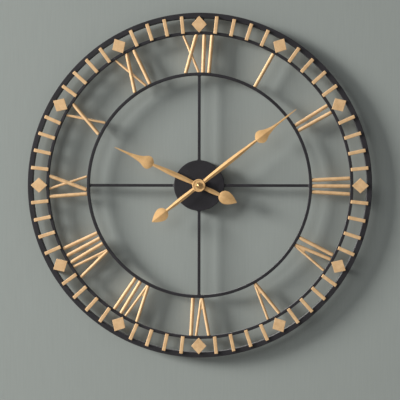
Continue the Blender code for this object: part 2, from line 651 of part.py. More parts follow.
def make_motion_work():
    """The gears behind the dial: the motion wheel takes the arbor's turn to the hour wheel."""
    motion_place = step_from((0, 0), MOTION_DIRECTION, MOTION_DISTANCE)
    motion_phase = meshed_phase(CANNON_TEETH, 0, MOTION_DIRECTION, MOTION_TEETH)
    hour_phase = meshed_phase(MOTION_PINION_TEETH, 0, MOTION_DIRECTION + 180, HOUR_TEETH)
    knob_phase = meshed_phase(MOTION_TEETH, motion_phase, KNOB_DIRECTION, KNOB_TEETH)

    minute_axis = axis_empty("minute_axis")
    arbor = turned(
        "minute_arbor",
        [
            (0, CAP_REAR + CAP_BORE_DEPTH - SEAT_GAP),
            (MINUTE_ARBOR_RADIUS, CAP_REAR + CAP_BORE_DEPTH - SEAT_GAP),
            (MINUTE_ARBOR_RADIUS, CANNON_LAYER[0] - COLLAR_LEAD),
            (2 * MINUTE_ARBOR_RADIUS, CANNON_LAYER[0] - COLLAR_LEAD),
            (2 * MINUTE_ARBOR_RADIUS, DRIVE_LAYER[1] + SEAT_GAP),
            (MINUTE_ARBOR_RADIUS, DRIVE_LAYER[1] + SEAT_GAP),
            (MINUTE_ARBOR_RADIUS, SECONDS_PINION_LAYER[1] + END_SHAKE),
            (0, SECONDS_PINION_LAYER[1] + END_SHAKE),
        ],
        BORE_SIDES,
        False,
        minute_axis,
    )
    join(arbor, toothed("cannon_teeth", CANNON_TEETH, CANNON_MODULE, 0, CANNON_LAYER, minute_axis))
    keep(arbor, BRASS)

    motion_axis = axis_empty("motion_axis", motion_place)
    floor = CASE_FLOOR + END_SHAKE
    ceiling = CASE_CEILING - END_SHAKE
    wheel = cylinder("motion_wheel", PIVOT_RADIUS, floor, ceiling, sides=PIVOT_SIDES, parent=motion_axis)
    join(
        wheel,
        toothed("teeth", MOTION_TEETH, CANNON_MODULE, motion_phase, MOTION_LAYER, motion_axis),
        toothed("leaves", MOTION_PINION_TEETH, HOUR_MODULE, 0, MOTION_PINION_LAYER, motion_axis),
    )
    keep(wheel, GEAR_PLASTIC)

    hour_axis = axis_empty("hour_axis")
    pipe_rear = HOUR_LAYER[0] - COLLAR_LEAD
    shoulder = BUSH_BORE_RADIUS + PIPE_SHOULDER
    hour_wheel = turned(
        "hour_wheel",
        [
            (PIPE_BORE_RADIUS, HOUR_REAR + HAND_THICKNESS),
            (PIPE_RADIUS, HOUR_REAR + HAND_THICKNESS),
            (PIPE_RADIUS, ceiling),
            (shoulder, ceiling),
            (shoulder, pipe_rear),
            (PIPE_BORE_RADIUS, pipe_rear),
        ],
        BORE_SIDES,
        True,
        hour_axis,
    )
    teeth = toothed("teeth", HOUR_TEETH, HOUR_MODULE, hour_phase, HOUR_LAYER, hour_axis, PIPE_RADIUS)
    keep(join(hour_wheel, teeth), GEAR_PLASTIC)

    knob_axis = axis_empty("knob_axis", knob_place())
    knob = turned(
        "setting_knob",
        [
            (0, ceiling),
            (PIVOT_RADIUS, ceiling),
            (PIVOT_RADIUS, KNOB_PINION_LAYER[1] - PIVOT_LAP),
            (KNOB_SHAFT_RADIUS, KNOB_PINION_LAYER[1] - PIVOT_LAP),
            (KNOB_SHAFT_RADIUS, KNOB_RECESS + KNOB_DEPTH),
            (KNOB_RADIUS, KNOB_RECESS + KNOB_DEPTH),
            (KNOB_RADIUS, KNOB_RECESS),
            (0, KNOB_RECESS),
        ],
        24,
        False,
        knob_axis,
    )
    join(knob, toothed("leaves", KNOB_TEETH, CANNON_MODULE, knob_phase, KNOB_PINION_LAYER, knob_axis))
    keep(knob, GEAR_PLASTIC)


def knob_place():
    motion_place = step_from((0, 0), MOTION_DIRECTION, MOTION_DISTANCE)
    distance = centre_distance(CANNON_MODULE, MOTION_TEETH, KNOB_TEETH)
    return step_from(motion_place, KNOB_DIRECTION, distance)


def step_place():
    distance = centre_distance(SECONDS_MODULE, STEP_PINION_TEETH, SECONDS_TEETH)
    return step_from((0, 0), STEP_DIRECTION, distance)


def rotor_place():
    distance = centre_distance(STEP_MODULE, ROTOR_TEETH, STEP_TEETH)
    return step_from(step_place(), ROTOR_DIRECTION, distance)


def make_drive_train():
    """The reduction from the motor to the drive wheel, which turns once an hour and grips the arbor."""
    floor = CASE_FLOOR + END_SHAKE
    distance = centre_distance(DRIVE_MODULE, THIRD_PINION_TEETH, DRIVE_TEETH)
    third_place = step_from((0, 0), THIRD_DIRECTION, distance)

    axis = axis_empty("rotor_axis", rotor_place())
    top = MAGNET_LAYER[1] + MAGNET_STUB
    rotor = cylinder("rotor", PIVOT_RADIUS, floor, top, sides=PIVOT_SIDES, parent=axis)
    join(
        rotor,
        cylinder("magnet", MAGNET_RADIUS, *MAGNET_LAYER, sides=BORE_SIDES, parent=axis),
        toothed("leaves", ROTOR_TEETH, STEP_MODULE, 0, ROTOR_LAYER, axis),
    )
    keep(rotor, MAGNET)

    axis = axis_empty("step_axis", step_place())
    phase = meshed_phase(ROTOR_TEETH, 0, ROTOR_DIRECTION + 180, STEP_TEETH)
    top = DRIVE_LAYER[0] - 2 * END_SHAKE
    wheel = cylinder("step_wheel", PIVOT_RADIUS, floor, top, sides=PIVOT_SIDES, parent=axis)
    join(
        wheel,
        toothed("teeth", STEP_TEETH, STEP_MODULE, phase, STEP_LAYER, axis),
        toothed("leaves", STEP_PINION_TEETH, SECONDS_MODULE, 0, STEP_PINION_LAYER, axis),
    )
    keep(wheel, GEAR_PLASTIC)

    axis = axis_empty("seconds_axis")
    phase = meshed_phase(STEP_PINION_TEETH, 0, STEP_DIRECTION + 180, SECONDS_TEETH)
    top = SECONDS_PINION_LAYER[1] - PIVOT_LAP / 2
    wheel = cylinder("seconds_wheel", PIVOT_RADIUS, floor, top, sides=PIVOT_SIDES, parent=axis)
    join(
        wheel,
        toothed("teeth", SECONDS_TEETH, SECONDS_MODULE, phase, SECONDS_LAYER, axis),
        toothed("leaves", SECONDS_PINION_TEETH, THIRD_MODULE, 0, SECONDS_PINION_LAYER, axis),
    )
    keep(wheel, GEAR_PLASTIC)

    axis = axis_empty("third_axis", third_place)
    phase = meshed_phase(SECONDS_PINION_TEETH, 0, THIRD_DIRECTION, THIRD_TEETH)
    wheel = cylinder("third_wheel", PIVOT_RADIUS, floor, CANNON_LAYER[0], sides=PIVOT_SIDES, parent=axis)
    join(
        wheel,
        toothed("teeth", THIRD_TEETH, THIRD_MODULE, phase, THIRD_LAYER, axis),
        toothed("leaves", THIRD_PINION_TEETH, DRIVE_MODULE, 0, THIRD_PINION_LAYER, axis),
    )
    keep(wheel, GEAR_PLASTIC)

    axis = axis_empty("drive_axis")
    phase = meshed_phase(THIRD_PINION_TEETH, 0, THIRD_DIRECTION + 180, DRIVE_TEETH)
    bore = MINUTE_ARBOR_RADIUS + RUNNING_GAP
    wheel = toothed("drive_wheel", DRIVE_TEETH, DRIVE_MODULE, phase, DRIVE_LAYER, axis, bore)
    keep(wheel, GEAR_PLASTIC)


# Movement


def corner_trim(name, rear, front):
    """What a case corner would lose where it reaches the hub cover's wall."""
    inside = HUB_RADIUS - HUB_WALL - SEAT_GAP
    return ring(name, inside, 2 * CASE_HALF_WIDTH, rear - OVERCUT, front + OVERCUT)


def make_case():
    inner_x = (-CASE_HALF_WIDTH + CASE_WALL, CASE_HALF_WIDTH - CASE_WALL)
    outer_x = (-CASE_HALF_WIDTH, CASE_HALF_WIDTH)
    outer_y = (CASE_BOTTOM, CASE_TOP)
    train_y = (TRAIN_BOTTOM, CASE_TOP - CASE_WALL)
    bay_y = (CASE_BOTTOM + CASE_WALL, BAY_TOP)
    knob_at = knob_place()
    well_radius = KNOB_RADIUS + RUNNING_GAP
    well_floor = KNOB_RECESS + KNOB_DEPTH + RUNNING_GAP

    rear = box("movement_case_rear", outer_x, outer_y, (0, CASE_SPLIT))
    cut(
        rear,
        box("train_space", inner_x, train_y, (CASE_FLOOR, CASE_SPLIT + OVERCUT)),
        box("battery_bay", inner_x, bay_y, (-OVERCUT, CASE_SPLIT + OVERCUT)),
        corner_trim("rear_corners", 0, CASE_SPLIT),
    )
    well_front = well_floor + WELL_WALL
    join(rear, cylinder("knob_well", well_radius + WELL_WALL, CASE_FLOOR / 2, well_front, knob_at))
    cut(
        rear,
        cylinder("knob_recess", well_radius, -OVERCUT, well_floor, knob_at),
        cylinder("knob_bore", KNOB_SHAFT_RADIUS + RUNNING_GAP, 0, CASE_SPLIT, knob_at),
    )
    keep(rear, CASE_PLASTIC)

    front_rear = CASE_SPLIT + SEAT_GAP
    front = box("movement_case_front", outer_x, outer_y, (front_rear, CASE_DEPTH))
    battery_front = BATTERY_REAR + 2 * BATTERY_RADIUS + BAY_CLEARANCE
    cut(
        front,
        box("train_space", inner_x, train_y, (front_rear - OVERCUT, CASE_CEILING)),
        box("battery_bay", inner_x, bay_y, (front_rear - OVERCUT, battery_front)),
        corner_trim("front_corners", front_rear, CASE_DEPTH),
    )
    join(front, cylinder("bush", BUSH_RADIUS, CASE_CEILING + CASE_WALL / 2, NUT_FRONT + SEAT_GAP))
    bush_span = (CASE_CEILING - OVERCUT, NUT_FRONT + OVERCUT)
    cut(front, cylinder("bush_bore", BUSH_BORE_RADIUS, *bush_span, sides=BORE_SIDES))
    keep(front, CASE_PLASTIC)


def make_battery():
    half = (BATTERY_LENGTH + BATTERY_TIP_LENGTH) / 2
    height = BATTERY_REAR + BATTERY_RADIUS
    start = (-half, BATTERY_Y, height)
    end = (half - BATTERY_TIP_LENGTH, BATTERY_Y, height)
    tip = (half, BATTERY_Y, height)
    battery = rod("battery", start, end, BATTERY_RADIUS, 32)
    join(battery, rod("tip", (0, BATTERY_Y, height), tip, BATTERY_TIP_RADIUS, 16))
    keep(battery, CELL, True)
    y = (BATTERY_Y - CONTACT_HALF_WIDTH, BATTERY_Y + CONTACT_HALF_WIDTH)
    z = (height - CONTACT_HALF_WIDTH, height + CONTACT_HALF_WIDTH)
    inner = CASE_HALF_WIDTH - CASE_WALL - SEAT_GAP
    keep(box("battery_contact_minus", (-inner, -inner + CONTACT_THICKNESS), y, z), STEEL)
    keep(box("battery_contact_plus", (inner - CONTACT_THICKNESS, inner), y, z), STEEL)


def make_motor():
    """A flat stator whose left leg runs through the coil, and whose right side holds the rotor."""
    rotor_x, rotor_y = rotor_place()
    reach = STATOR_HOLE_RADIUS + STATOR_HOLE_WALL
    leg_x = (-COIL_OFFSET - STATOR_LEG_WIDTH / 2, -COIL_OFFSET + STATOR_LEG_WIDTH / 2)
    end_y = COIL_HALF_LENGTH + SEAT_GAP + STATOR_LEG_WIDTH
    low, high = STATOR_LAYER
    lower_y = (-end_y, -end_y + STATOR_LEG_WIDTH)
    upper_y = (end_y - STATOR_LEG_WIDTH, end_y)
    hole_x = (rotor_x - reach, rotor_x + reach)
    link_x = (rotor_x - reach, rotor_x - reach + STATOR_LINK_WIDTH)
    lap = OVERCUT
    stator = box("stator", leg_x, (-end_y, end_y), (low, high))
    join(
        stator,
        box("lower_arm", (leg_x[1] - lap, rotor_x), lower_y, (low, high)),
        box("upper_arm", (leg_x[1] - lap, rotor_x - reach + lap), upper_y, (low, high)),
        box("rotor_plate", hole_x, (-end_y - lap, rotor_y + reach), (low, high)),
        box("link", link_x, (rotor_y, end_y - lap / 2), (low, high)),
    )
    hole_z = (low - OVERCUT, high + OVERCUT)
    cut(stator, cylinder("rotor_hole", STATOR_HOLE_RADIUS, *hole_z, (rotor_x, rotor_y), 28))
    keep(stator, STEEL)

    flange = COIL_HALF_LENGTH - BOBBIN_FLANGE
    coil = turned(
        "drive_coil",
        [
            (COIL_BORE_RADIUS, COIL_HALF_LENGTH),
            (BOBBIN_RADIUS, COIL_HALF_LENGTH),
            (BOBBIN_RADIUS, flange),
            (COIL_RADIUS, flange),
            (COIL_RADIUS, -flange),
            (BOBBIN_RADIUS, -flange),
            (BOBBIN_RADIUS, -COIL_HALF_LENGTH),
            (COIL_BORE_RADIUS, -COIL_HALF_LENGTH),
        ],
        BORE_SIDES,
        True,
    )
    coil.location = (-COIL_OFFSET, 0, (low + high) / 2)
    coil.rotation_euler.x = math.radians(90)
    keep(coil, COPPER, True)


def make_circuit():
    right = CASE_HALF_WIDTH - CASE_WALL - BOARD_SIDE_GAP
    left = right - BOARD_WIDTH
    bottom = TRAIN_BOTTOM + BOARD_LOWER_GAP
    top = CASE_TOP - CASE_WALL - BOARD_UPPER_GAP
    board_front = BOARD_LAYER[1]
    board = box("circuit_board", (left, right), (bottom, top), BOARD_LAYER)
    blob_at = (left + BLOB_INSET[0], top - BLOB_INSET[1], board_front)
    bm = bmesh.new()
    bmesh.ops.create_uvsphere(
        bm,
        u_segments=16,
        v_segments=8,
        radius=1,
        matrix=Matrix.Translation(blob_at) @ Matrix.Diagonal((BLOB_RADIUS, BLOB_RADIUS, BLOB_HEIGHT, 1)),
    )
    join(board, mesh_object("chip_blob", bm))
    keep(board, BOARD)
    x = right - CRYSTAL_INSET[0]
    y = bottom + CRYSTAL_INSET[1]
    z = board_front + SEAT_GAP + CRYSTAL_RADIUS
    crystal = rod("quartz_crystal", (x, y, z), (x, y + CRYSTAL_LENGTH, z), CRYSTAL_RADIUS, 16)
    keep(crystal, STEEL, True)


# Hands


def hand_loop(half_outline):
    """A closed outline, up the right side of the hand from its tail and down the left side."""
    right = [(width * MM, along * MM, kind) for along, width, kind in half_outline]
    left = [(-x, y, kind) for x, y, kind in reversed(right)]
    return right + left


def make_hand(name, outline, axis, rear, bore):
    front = rear + HAND_THICKNESS
    hand = flat_plate(name, [hand_loop(outline)], rear, front, axis)
    boss_span = (rear - BOSS_STEP, front + BOSS_STEP)
    join(hand, cylinder("boss", BOSS_RADIUS, *boss_span, sides=BOSS_SIDES, parent=axis))
    cut(hand, cylinder("bore", bore, rear - OVERCUT, front + OVERCUT, sides=BORE_SIDES, parent=axis))
    keep(hand, GOLD)


def make_hands():
    hour_axis = axis_empty("hour_hand_axis", turn_deg=-HOUR_ANGLE)
    minute_axis = axis_empty("minute_hand_axis", turn_deg=-MINUTE_ANGLE)
    make_hand("hour_hand", HOUR_OUTLINE, hour_axis, HOUR_REAR, PIPE_RADIUS + SEAT_GAP)
    make_hand("minute_hand", MINUTE_OUTLINE, minute_axis, MINUTE_REAR, MINUTE_ARBOR_RADIUS + SEAT_GAP)
    bore = MINUTE_ARBOR_RADIUS + SEAT_GAP
    base = CAP_REAR + BOSS_STEP
    profile = [(0, base + CAP_HEIGHT)]
    dome_steps = 6
    dome_radius = CAP_RADIUS * CAP_DOME
    dome_base = base + CAP_HEIGHT * CAP_RIM
    for step in range(1, dome_steps + 1):
        angle = math.radians(90 * step / dome_steps)
        height = dome_base + (base + CAP_HEIGHT - dome_base) * math.cos(angle)
        profile.append((dome_radius * math.sin(angle), height))
    profile += [(CAP_RADIUS, dome_base - CAP_CHAMFER), (CAP_RADIUS, base), (bore, base)]
    profile += [(bore, CAP_REAR + CAP_BORE_DEPTH), (0, CAP_REAR + CAP_BORE_DEPTH)]
    keep(turned("hand_cap_nut", profile, 24, False, minute_axis), GOLD, True)


clear_scene()
clock = new_collection("wall_clock")
helpers = new_collection("cutters")
dial = bpy.data.objects.new("dial", None)
clock.objects.link(dial)
dial.rotation_euler.x = math.radians(90)
bpy.context.view_layer.update()
make_rings()
make_minute_track()
make_spokes()
make_numerals()
make_hub()
make_fittings()
make_case()
make_battery()
make_motor()
make_circuit()
make_motion_work()
make_drive_train()
make_hands()
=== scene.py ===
import math

import bmesh
import bpy
from mathutils import Matrix, Vector


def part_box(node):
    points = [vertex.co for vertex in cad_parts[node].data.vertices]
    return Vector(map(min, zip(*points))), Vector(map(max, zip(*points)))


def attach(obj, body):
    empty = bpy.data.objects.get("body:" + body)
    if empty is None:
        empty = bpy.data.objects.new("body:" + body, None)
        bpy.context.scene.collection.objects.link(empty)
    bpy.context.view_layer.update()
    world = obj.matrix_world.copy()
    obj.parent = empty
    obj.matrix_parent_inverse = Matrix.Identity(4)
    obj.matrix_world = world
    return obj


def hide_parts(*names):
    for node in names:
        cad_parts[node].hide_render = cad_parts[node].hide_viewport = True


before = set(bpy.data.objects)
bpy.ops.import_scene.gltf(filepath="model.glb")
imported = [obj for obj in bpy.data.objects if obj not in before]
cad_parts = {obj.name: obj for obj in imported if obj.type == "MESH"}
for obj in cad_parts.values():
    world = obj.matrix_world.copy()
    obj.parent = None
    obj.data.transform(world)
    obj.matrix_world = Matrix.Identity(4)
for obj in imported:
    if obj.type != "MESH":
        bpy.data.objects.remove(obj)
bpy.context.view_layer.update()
print("frame loaded:", len(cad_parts), "nodes")

mm = 0.001
# pieces are drawn on a bench: x right, y towards twelve, z away from the wall, and then stood up
standUp = Matrix.Rotation(math.radians(90), 4, "X")
mergeDistance = 0.002 * mm
fineMerge = 0.001 * mm
hair = 0.0001 * mm


# the camera and the room

camera = {
    "distance": 2.3,
    "side": 2.2,  # degrees to the right of the clock's axis
    "rise": 1.0,  # degrees above it
    "roll": 0.09,
    "aimSide": 1.7 * mm,
    "aimDrop": 25.3 * mm,  # the aim lies this far below the hand axis
    "span": 695.8 * mm,  # width of what it takes in, at the rings
}
room = {
    "wallHalfWidth": 1.3,
    "wallTop": 1.1,
    "floorLevel": -0.62,
    "floorHalfWidth": 14.0,
    "wallGap": 0.5 * mm,
    "wallColour": (0.255, 0.282, 0.268),
    "floorColour": (0.36, 0.354, 0.348),
    "airColour": (0.95, 0.96, 1.0),
    "airStrength": 0.25,
}
# place, width, height, watts, spread in degrees, colour
lamps = {
    "keyLamp": ((-7.8, -2.76, 2.55), 2.4, 2.4, 330, 90, (1.0, 0.975, 0.945)),
    "frontLamp": ((-2.3, -2.7, 1.2), 1.6, 1.6, 29, 180, (1.0, 0.99, 0.98)),
    "rearLamp": ((-0.9, 2.4, 1.1), 1.4, 1.4, 60, 180, (1.0, 0.99, 0.97)),
}


def placeCamera():
    side, rise = math.radians(camera["side"]), math.radians(camera["rise"])
    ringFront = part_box("inner_ring")[0].y
    aim = Vector((camera["aimSide"], ringFront, -camera["aimDrop"]))
    back = Vector((math.sin(side) * math.cos(rise), -math.cos(side) * math.cos(rise), math.sin(rise)))
    data = bpy.data.cameras.new("camera")
    data.lens = data.sensor_width * camera["distance"] / camera["span"]
    eye = bpy.data.objects.new("camera", data)
    eye.location = aim + back * camera["distance"]
    upright = (-back).to_track_quat("-Z", "Y").to_matrix()
    eye.rotation_euler = (upright @ Matrix.Rotation(math.radians(camera["roll"]), 3, "Z")).to_euler()
    bpy.context.scene.collection.objects.link(eye)
    bpy.context.scene.camera = eye


def placeLamps():
    for name, (place, width, height, watts, spread, colour) in lamps.items():
        data = bpy.data.lights.new(name, "AREA")
        data.shape = "RECTANGLE"
        data.size = width
        data.size_y = height
        data.spread = math.radians(spread)
        data.energy = watts
        data.color = colour
        lamp = bpy.data.objects.new(name, data)
        lamp.location = place
        lamp.rotation_euler = (-Vector(place)).to_track_quat("-Z", "Y").to_euler()
        bpy.context.scene.collection.objects.link(lamp)
    world = bpy.data.worlds.new("studio")
    world.use_nodes = True
    air = world.node_tree.nodes["Background"]
    air.inputs["Color"].default_value = (*room["airColour"], 1)
    air.inputs["Strength"].default_value = room["airStrength"]
    bpy.context.scene.world = world
    bpy.context.scene.view_settings.view_transform = "Standard"


# materials

class Wire:
    # an output socket; + and * on it add the Math nodes
    def __init__(self, finish, socket):
        self.finish = finish
        self.socket = socket

    def meet(self, operation, first, second):
        return self.finish.node("ShaderNodeMath", {"operation": operation}, {0: first, 1: second})

    def __add__(self, other):
        return self.meet("ADD", self, other)

    def __mul__(self, other):
        return self.meet("MULTIPLY", self, other)

    __radd__ = __add__
    __rmul__ = __mul__


class Finish:
    # a material and the nodes that make it
    def __init__(self, name, **constants):
        self.material = bpy.data.materials.new(name)
        self.material.use_nodes = True
        self.tree = self.material.node_tree
        self.shader = self.tree.nodes["Principled BSDF"]
        for socket, value in constants.items():
            self.shader.inputs[socket.replace("_", " ")].default_value = value
        self.place = self.node("ShaderNodeTexCoord", output="Object")

    def node(self, kind, settings=None, sockets=None, output=0):
        made = self.tree.nodes.new(kind)
        for key, value in (settings or {}).items():
            if key == "stops":
                stops = made.color_ramp.elements
                while len(stops) < len(value):
                    stops.new(1)
                for stop, (position, grey) in zip(stops, value):
                    stop.position = position
                    stop.color = (grey, grey, grey, 1)
            else:
                setattr(made, key, value)
        for key, value in (sockets or {}).items():
            if isinstance(value, Wire):
                self.tree.links.new(value.socket, made.inputs[key])
            else:
                made.inputs[key].default_value = value
        return Wire(self, made.outputs[output])

    def noise(self, size, detail=2.0, rough=0.5, place=None):
        # soft grain whose lumps are about this size
        sockets = {"Vector": place or self.place, "Scale": 1 / size, "Detail": detail, "Roughness": rough}
        return self.node("ShaderNodeTexNoise", None, sockets)

    def pits(self, size, place=None):
        sockets = {"Vector": place or self.place, "Scale": 1 / size}
        return self.node("ShaderNodeTexVoronoi", None, sockets, "Distance")

    def stretched(self, scale, turn=(0, 0, 0), centre=(0, 0, 0)):
        # the piece's own coordinates, moved to a centre, turned, and scaled along each axis
        moved = self.node("ShaderNodeMapping", {"vector_type": "POINT"}, {
            "Vector": self.place, "Location": tuple(-c for c in centre)})
        turned = self.node("ShaderNodeMapping", {"vector_type": "POINT"}, {"Vector": moved, "Rotation": turn})
        return self.node("ShaderNodeMapping", {"vector_type": "POINT"}, {"Vector": turned, "Scale": scale})

    def ramp(self, value, *stops):
        return self.node("ShaderNodeValToRGB", {"stops": stops}, {"Fac": value})

    def blend(self, amount, first, second):
        def colour(value):
            return value if isinstance(value, Wire) else (*value, 1)

        return self.node("ShaderNodeMix", {"data_type": "RGBA"},
                         {0: amount, 6: colour(first), 7: colour(second)}, 2)

    def radius(self):
        # distance from the hand axis, across the dial
        flat = self.node("ShaderNodeVectorMath", {"operation": "MULTIPLY"}, {0: self.place, 1: (1, 0, 1)})
        return self.node("ShaderNodeVectorMath", {"operation": "LENGTH"}, {0: flat}, "Value")

    def feed(self, **sockets):
        for socket, value in sockets.items():
            self.tree.links.new(value.socket, self.shader.inputs[socket.replace("_", " ")])

    def bump(self, height, depth, strength=1.0):
        made = self.node("ShaderNodeBump", None, {"Height": height, "Distance": depth, "Strength": strength},
                         "Normal")
        self.feed(Normal=made)


def powderCoat():
    look = {"dark": (0.0085, 0.0079, 0.0098), "light": (0.0180, 0.0166, 0.0212), "dust": (0.07, 0.067, 0.076)}
    finish = Finish("powder_coat", IOR=1.42)
    peel = finish.noise(1.6 * mm, 2)
    grain = finish.noise(0.35 * mm, 2)
    cloud = finish.noise(30 * mm, 3)
    specks = finish.ramp(finish.pits(1.3 * mm), (0.08, 1), (0.16, 0))
    tone = finish.ramp(cloud * 0.4 + peel * 0.35 + grain * 0.25, (0.38, 0), (0.62, 1))
    colour = finish.blend(tone, look["dark"], look["light"])
    finish.feed(Base_Color=finish.blend(specks * 0.30, colour, look["dust"]),
                Roughness=0.42 + cloud * 0.14 + grain * 0.12)
    finish.bump(peel * 0.7 + grain * 0.6, 0.16 * mm, 0.9)
    return finish.material


def goldPaint(name="gold_paint", shade=1.0, streaks=None):
    # streaks is the angle of a hand on the dial, for the fine lines that run along it
    look = {"deep": (0.54, 0.335, 0.160), "pale": (0.73, 0.500, 0.272), "flake": (0.90, 0.72, 0.48)}
    if streaks is not None:
        look = {"deep": (0.52, 0.305, 0.120), "pale": (0.74, 0.485, 0.225), "flake": (0.90, 0.70, 0.44)}
    # shade below 1 darkens every colour of this copy of the paint: painted shade
    look = {key: tuple(c * shade for c in value) for key, value in look.items()}
    finish = Finish(name, Metallic=0.2 if streaks is None else 0.4, IOR=1.5)
    cloud = finish.noise(9 * mm, 3)
    grain = finish.noise(0.7 * mm, 3, 0.7)
    flakes = finish.ramp(finish.pits(1.0 * mm), (0.12, 1), (0.22, 0))
    tone = finish.ramp(cloud * 0.5 + grain * 0.5, (0.34, 0), (0.66, 1))
    if streaks is not None:
        scale = (1 / (0.35 * mm), 1 / (0.35 * mm), 1 / (16 * mm))
        along = finish.stretched(scale, (0, -math.radians(streaks), 0))
        lines = finish.noise(1.0, 2, 0.5, along)
        tone = finish.ramp(cloud * 0.4 + grain * 0.4 + lines * 0.2, (0.34, 0), (0.66, 1))
    colour = finish.blend(tone, look["deep"], look["pale"])
    finish.feed(Base_Color=finish.blend(flakes * 0.35, colour, look["flake"]),
                Roughness=0.52 + cloud * 0.10 + grain * 0.10)
    finish.bump(grain * 0.8 + cloud * 0.4, 0.06 * mm, 0.7)
    return finish.material


def turnedMetal(name, dark, pale, rough):
    # lathe rings about the hand axis
    finish = Finish(name, Metallic=1.0)
    phase = finish.radius() * (2 * math.pi / (0.45 * mm))
    rings = finish.node("ShaderNodeMath", {"operation": "SINE"}, {0: phase})
    wear = finish.noise(3 * mm, 3)
    grain = finish.noise(0.3 * mm, 2)
    tone = finish.ramp(wear * 0.7 + rings * 0.1 + grain * 0.2, (0.3, 0), (0.7, 1))
    finish.feed(Base_Color=finish.blend(tone, dark, pale), Roughness=rough + wear * 0.15)
    finish.bump(rings * 0.5 + grain, 0.03 * mm, 0.6)
    return finish.material


def mouldedPlastic(name, dark, pale, rough, grainSize=0.4 * mm, depth=0.05 * mm, **constants):
    finish = Finish(name, **constants)
    grain = finish.noise(grainSize, 2, 0.6)
    cloud = finish.noise(15 * mm, 2)
    flow = finish.noise(1.0, 2, 0.5, finish.stretched((1 / (2 * mm), 1 / (2 * mm), 1 / (14 * mm))))
    tone = finish.ramp(cloud * 0.6 + flow * 0.4, (0.3, 0), (0.7, 1))
    finish.feed(Base_Color=finish.blend(tone, dark, pale),
                Roughness=rough + grain * 0.12 + cloud * 0.06)
    finish.bump(grain, depth, 0.8)
    return finish.material


def rolledSteel():
    finish = Finish("bright_steel", Metallic=1.0)
    lines = finish.noise(1.0, 3, 0.6, finish.stretched((1 / (6 * mm), 1 / (0.3 * mm), 1 / (0.25 * mm))))
    cloud = finish.noise(4 * mm, 2)
    finish.feed(Base_Color=finish.blend(lines * 0.6 + cloud * 0.4, (0.36, 0.36, 0.37), (0.66, 0.66, 0.67)),
                Roughness=0.24 + lines * 0.16 + cloud * 0.08)
    finish.bump(lines, 0.02 * mm, 0.6)
    return finish.material


def coilWire(turnHeight=0.22 * mm):
    # enamelled wire in level turns up the bobbin
    finish = Finish("copper_wire", Metallic=1.0, Coat_Weight=0.6)
    apart = finish.node("ShaderNodeSeparateXYZ", None, {"Vector": finish.place}, "Z")
    turns = finish.node("ShaderNodeMath", {"operation": "SINE"}, {0: apart * (2 * math.pi / turnHeight)})
    cloud = finish.noise(1.5 * mm, 2)
    finish.feed(Base_Color=finish.blend(finish.ramp(turns * 0.4 + cloud * 0.4 + 0.3, (0.1, 0), (0.9, 1)),
                                        (0.30, 0.09, 0.03), (0.80, 0.36, 0.16)),
                Roughness=0.25 + cloud * 0.15)
    finish.bump(turns, 0.05 * mm, 0.9)
    return finish.material


def solderMask():
    # green lacquer over copper tracks that run up and across
    finish = Finish("circuit_board", IOR=1.5, Coat_Weight=0.4)
    tracks = finish.node("ShaderNodeTexBrick", {"offset": 0.5, "squash": 1.0}, {
        "Vector": finish.stretched((1 / (5 * mm), 1, 1 / (5 * mm)), (math.radians(90), 0, 0)),
        "Scale": 1.0, "Mortar Size": 0.06, "Brick Width": 0.9, "Row Height": 0.32}, "Fac")
    cloud = finish.noise(2 * mm, 3)
    base = finish.blend(cloud, (0.010, 0.085, 0.030), (0.018, 0.125, 0.045))
    finish.feed(Base_Color=finish.blend(tracks * 0.8, base, (0.05, 0.24, 0.09)), Roughness=0.28 + cloud * 0.2)
    finish.bump(tracks * 0.7 + cloud * 0.3, 0.05 * mm, 0.8)
    return finish.material


def cellJacket():
    # a plain sleeve: grey with a darker end, and bare steel past its edges
    finish = Finish("battery_jacket", IOR=1.45, Coat_Weight=0.5)
    along = finish.node("ShaderNodeSeparateXYZ", None, {"Vector": finish.place}, "X")
    band = finish.node("ShaderNodeMath", {"operation": "GREATER_THAN"}, {0: along, 1: 9 * mm})
    steel = finish.node("ShaderNodeMath", {"operation": "GREATER_THAN"}, {
        0: finish.node("ShaderNodeMath", {"operation": "ABSOLUTE"}, {0: along + 0.6 * mm}), 1: 24.1 * mm})
    scuff = finish.noise(2.5 * mm, 4, 0.65)
    grey = finish.blend(scuff, (0.20, 0.23, 0.27), (0.26, 0.29, 0.33))
    dark = finish.blend(scuff, (0.035, 0.05, 0.075), (0.05, 0.07, 0.10))
    sleeve = finish.blend(band, grey, dark)
    finish.feed(Base_Color=finish.blend(steel, sleeve, (0.62, 0.62, 0.62)),
                Metallic=0.25 + steel * 0.75, Roughness=0.30 + scuff * 0.18)
    finish.bump(scuff, 0.02 * mm, 0.5)
    return finish.material


def wallPaint():
    # the wall shows from the front only, so that the clock can be seen from behind
    finish = Finish("wall_paint", Roughness=0.9)
    cloth = finish.noise(1.0, 3, 0.6, finish.stretched((1 / (3 * mm), 1, 1 / (60 * mm))))
    wall = room["wallColour"]
    finish.feed(Base_Color=finish.blend(cloth, tuple(c * 0.93 for c in wall), tuple(c * 1.05 for c in wall)))
    behind = finish.node("ShaderNodeNewGeometry", None, None, "Backfacing")
    clear = finish.node("ShaderNodeBsdfTransparent")
    shown = finish.node("ShaderNodeMixShader", None, {
        "Fac": behind, 1: Wire(finish, finish.shader.outputs[0]), 2: clear})
    finish.tree.links.new(shown.socket, finish.tree.nodes["Material Output"].inputs["Surface"])
    return finish.material


def floorPaint():
    finish = Finish("floor_paint", Roughness=0.8)
    cloud = finish.noise(0.3, 3)
    tone = room["floorColour"]
    finish.feed(Base_Color=finish.blend(cloud, tuple(c * 0.97 for c in tone), tuple(c * 1.03 for c in tone)))
    return finish.material


# shaping

def bench():
    return bmesh.new()


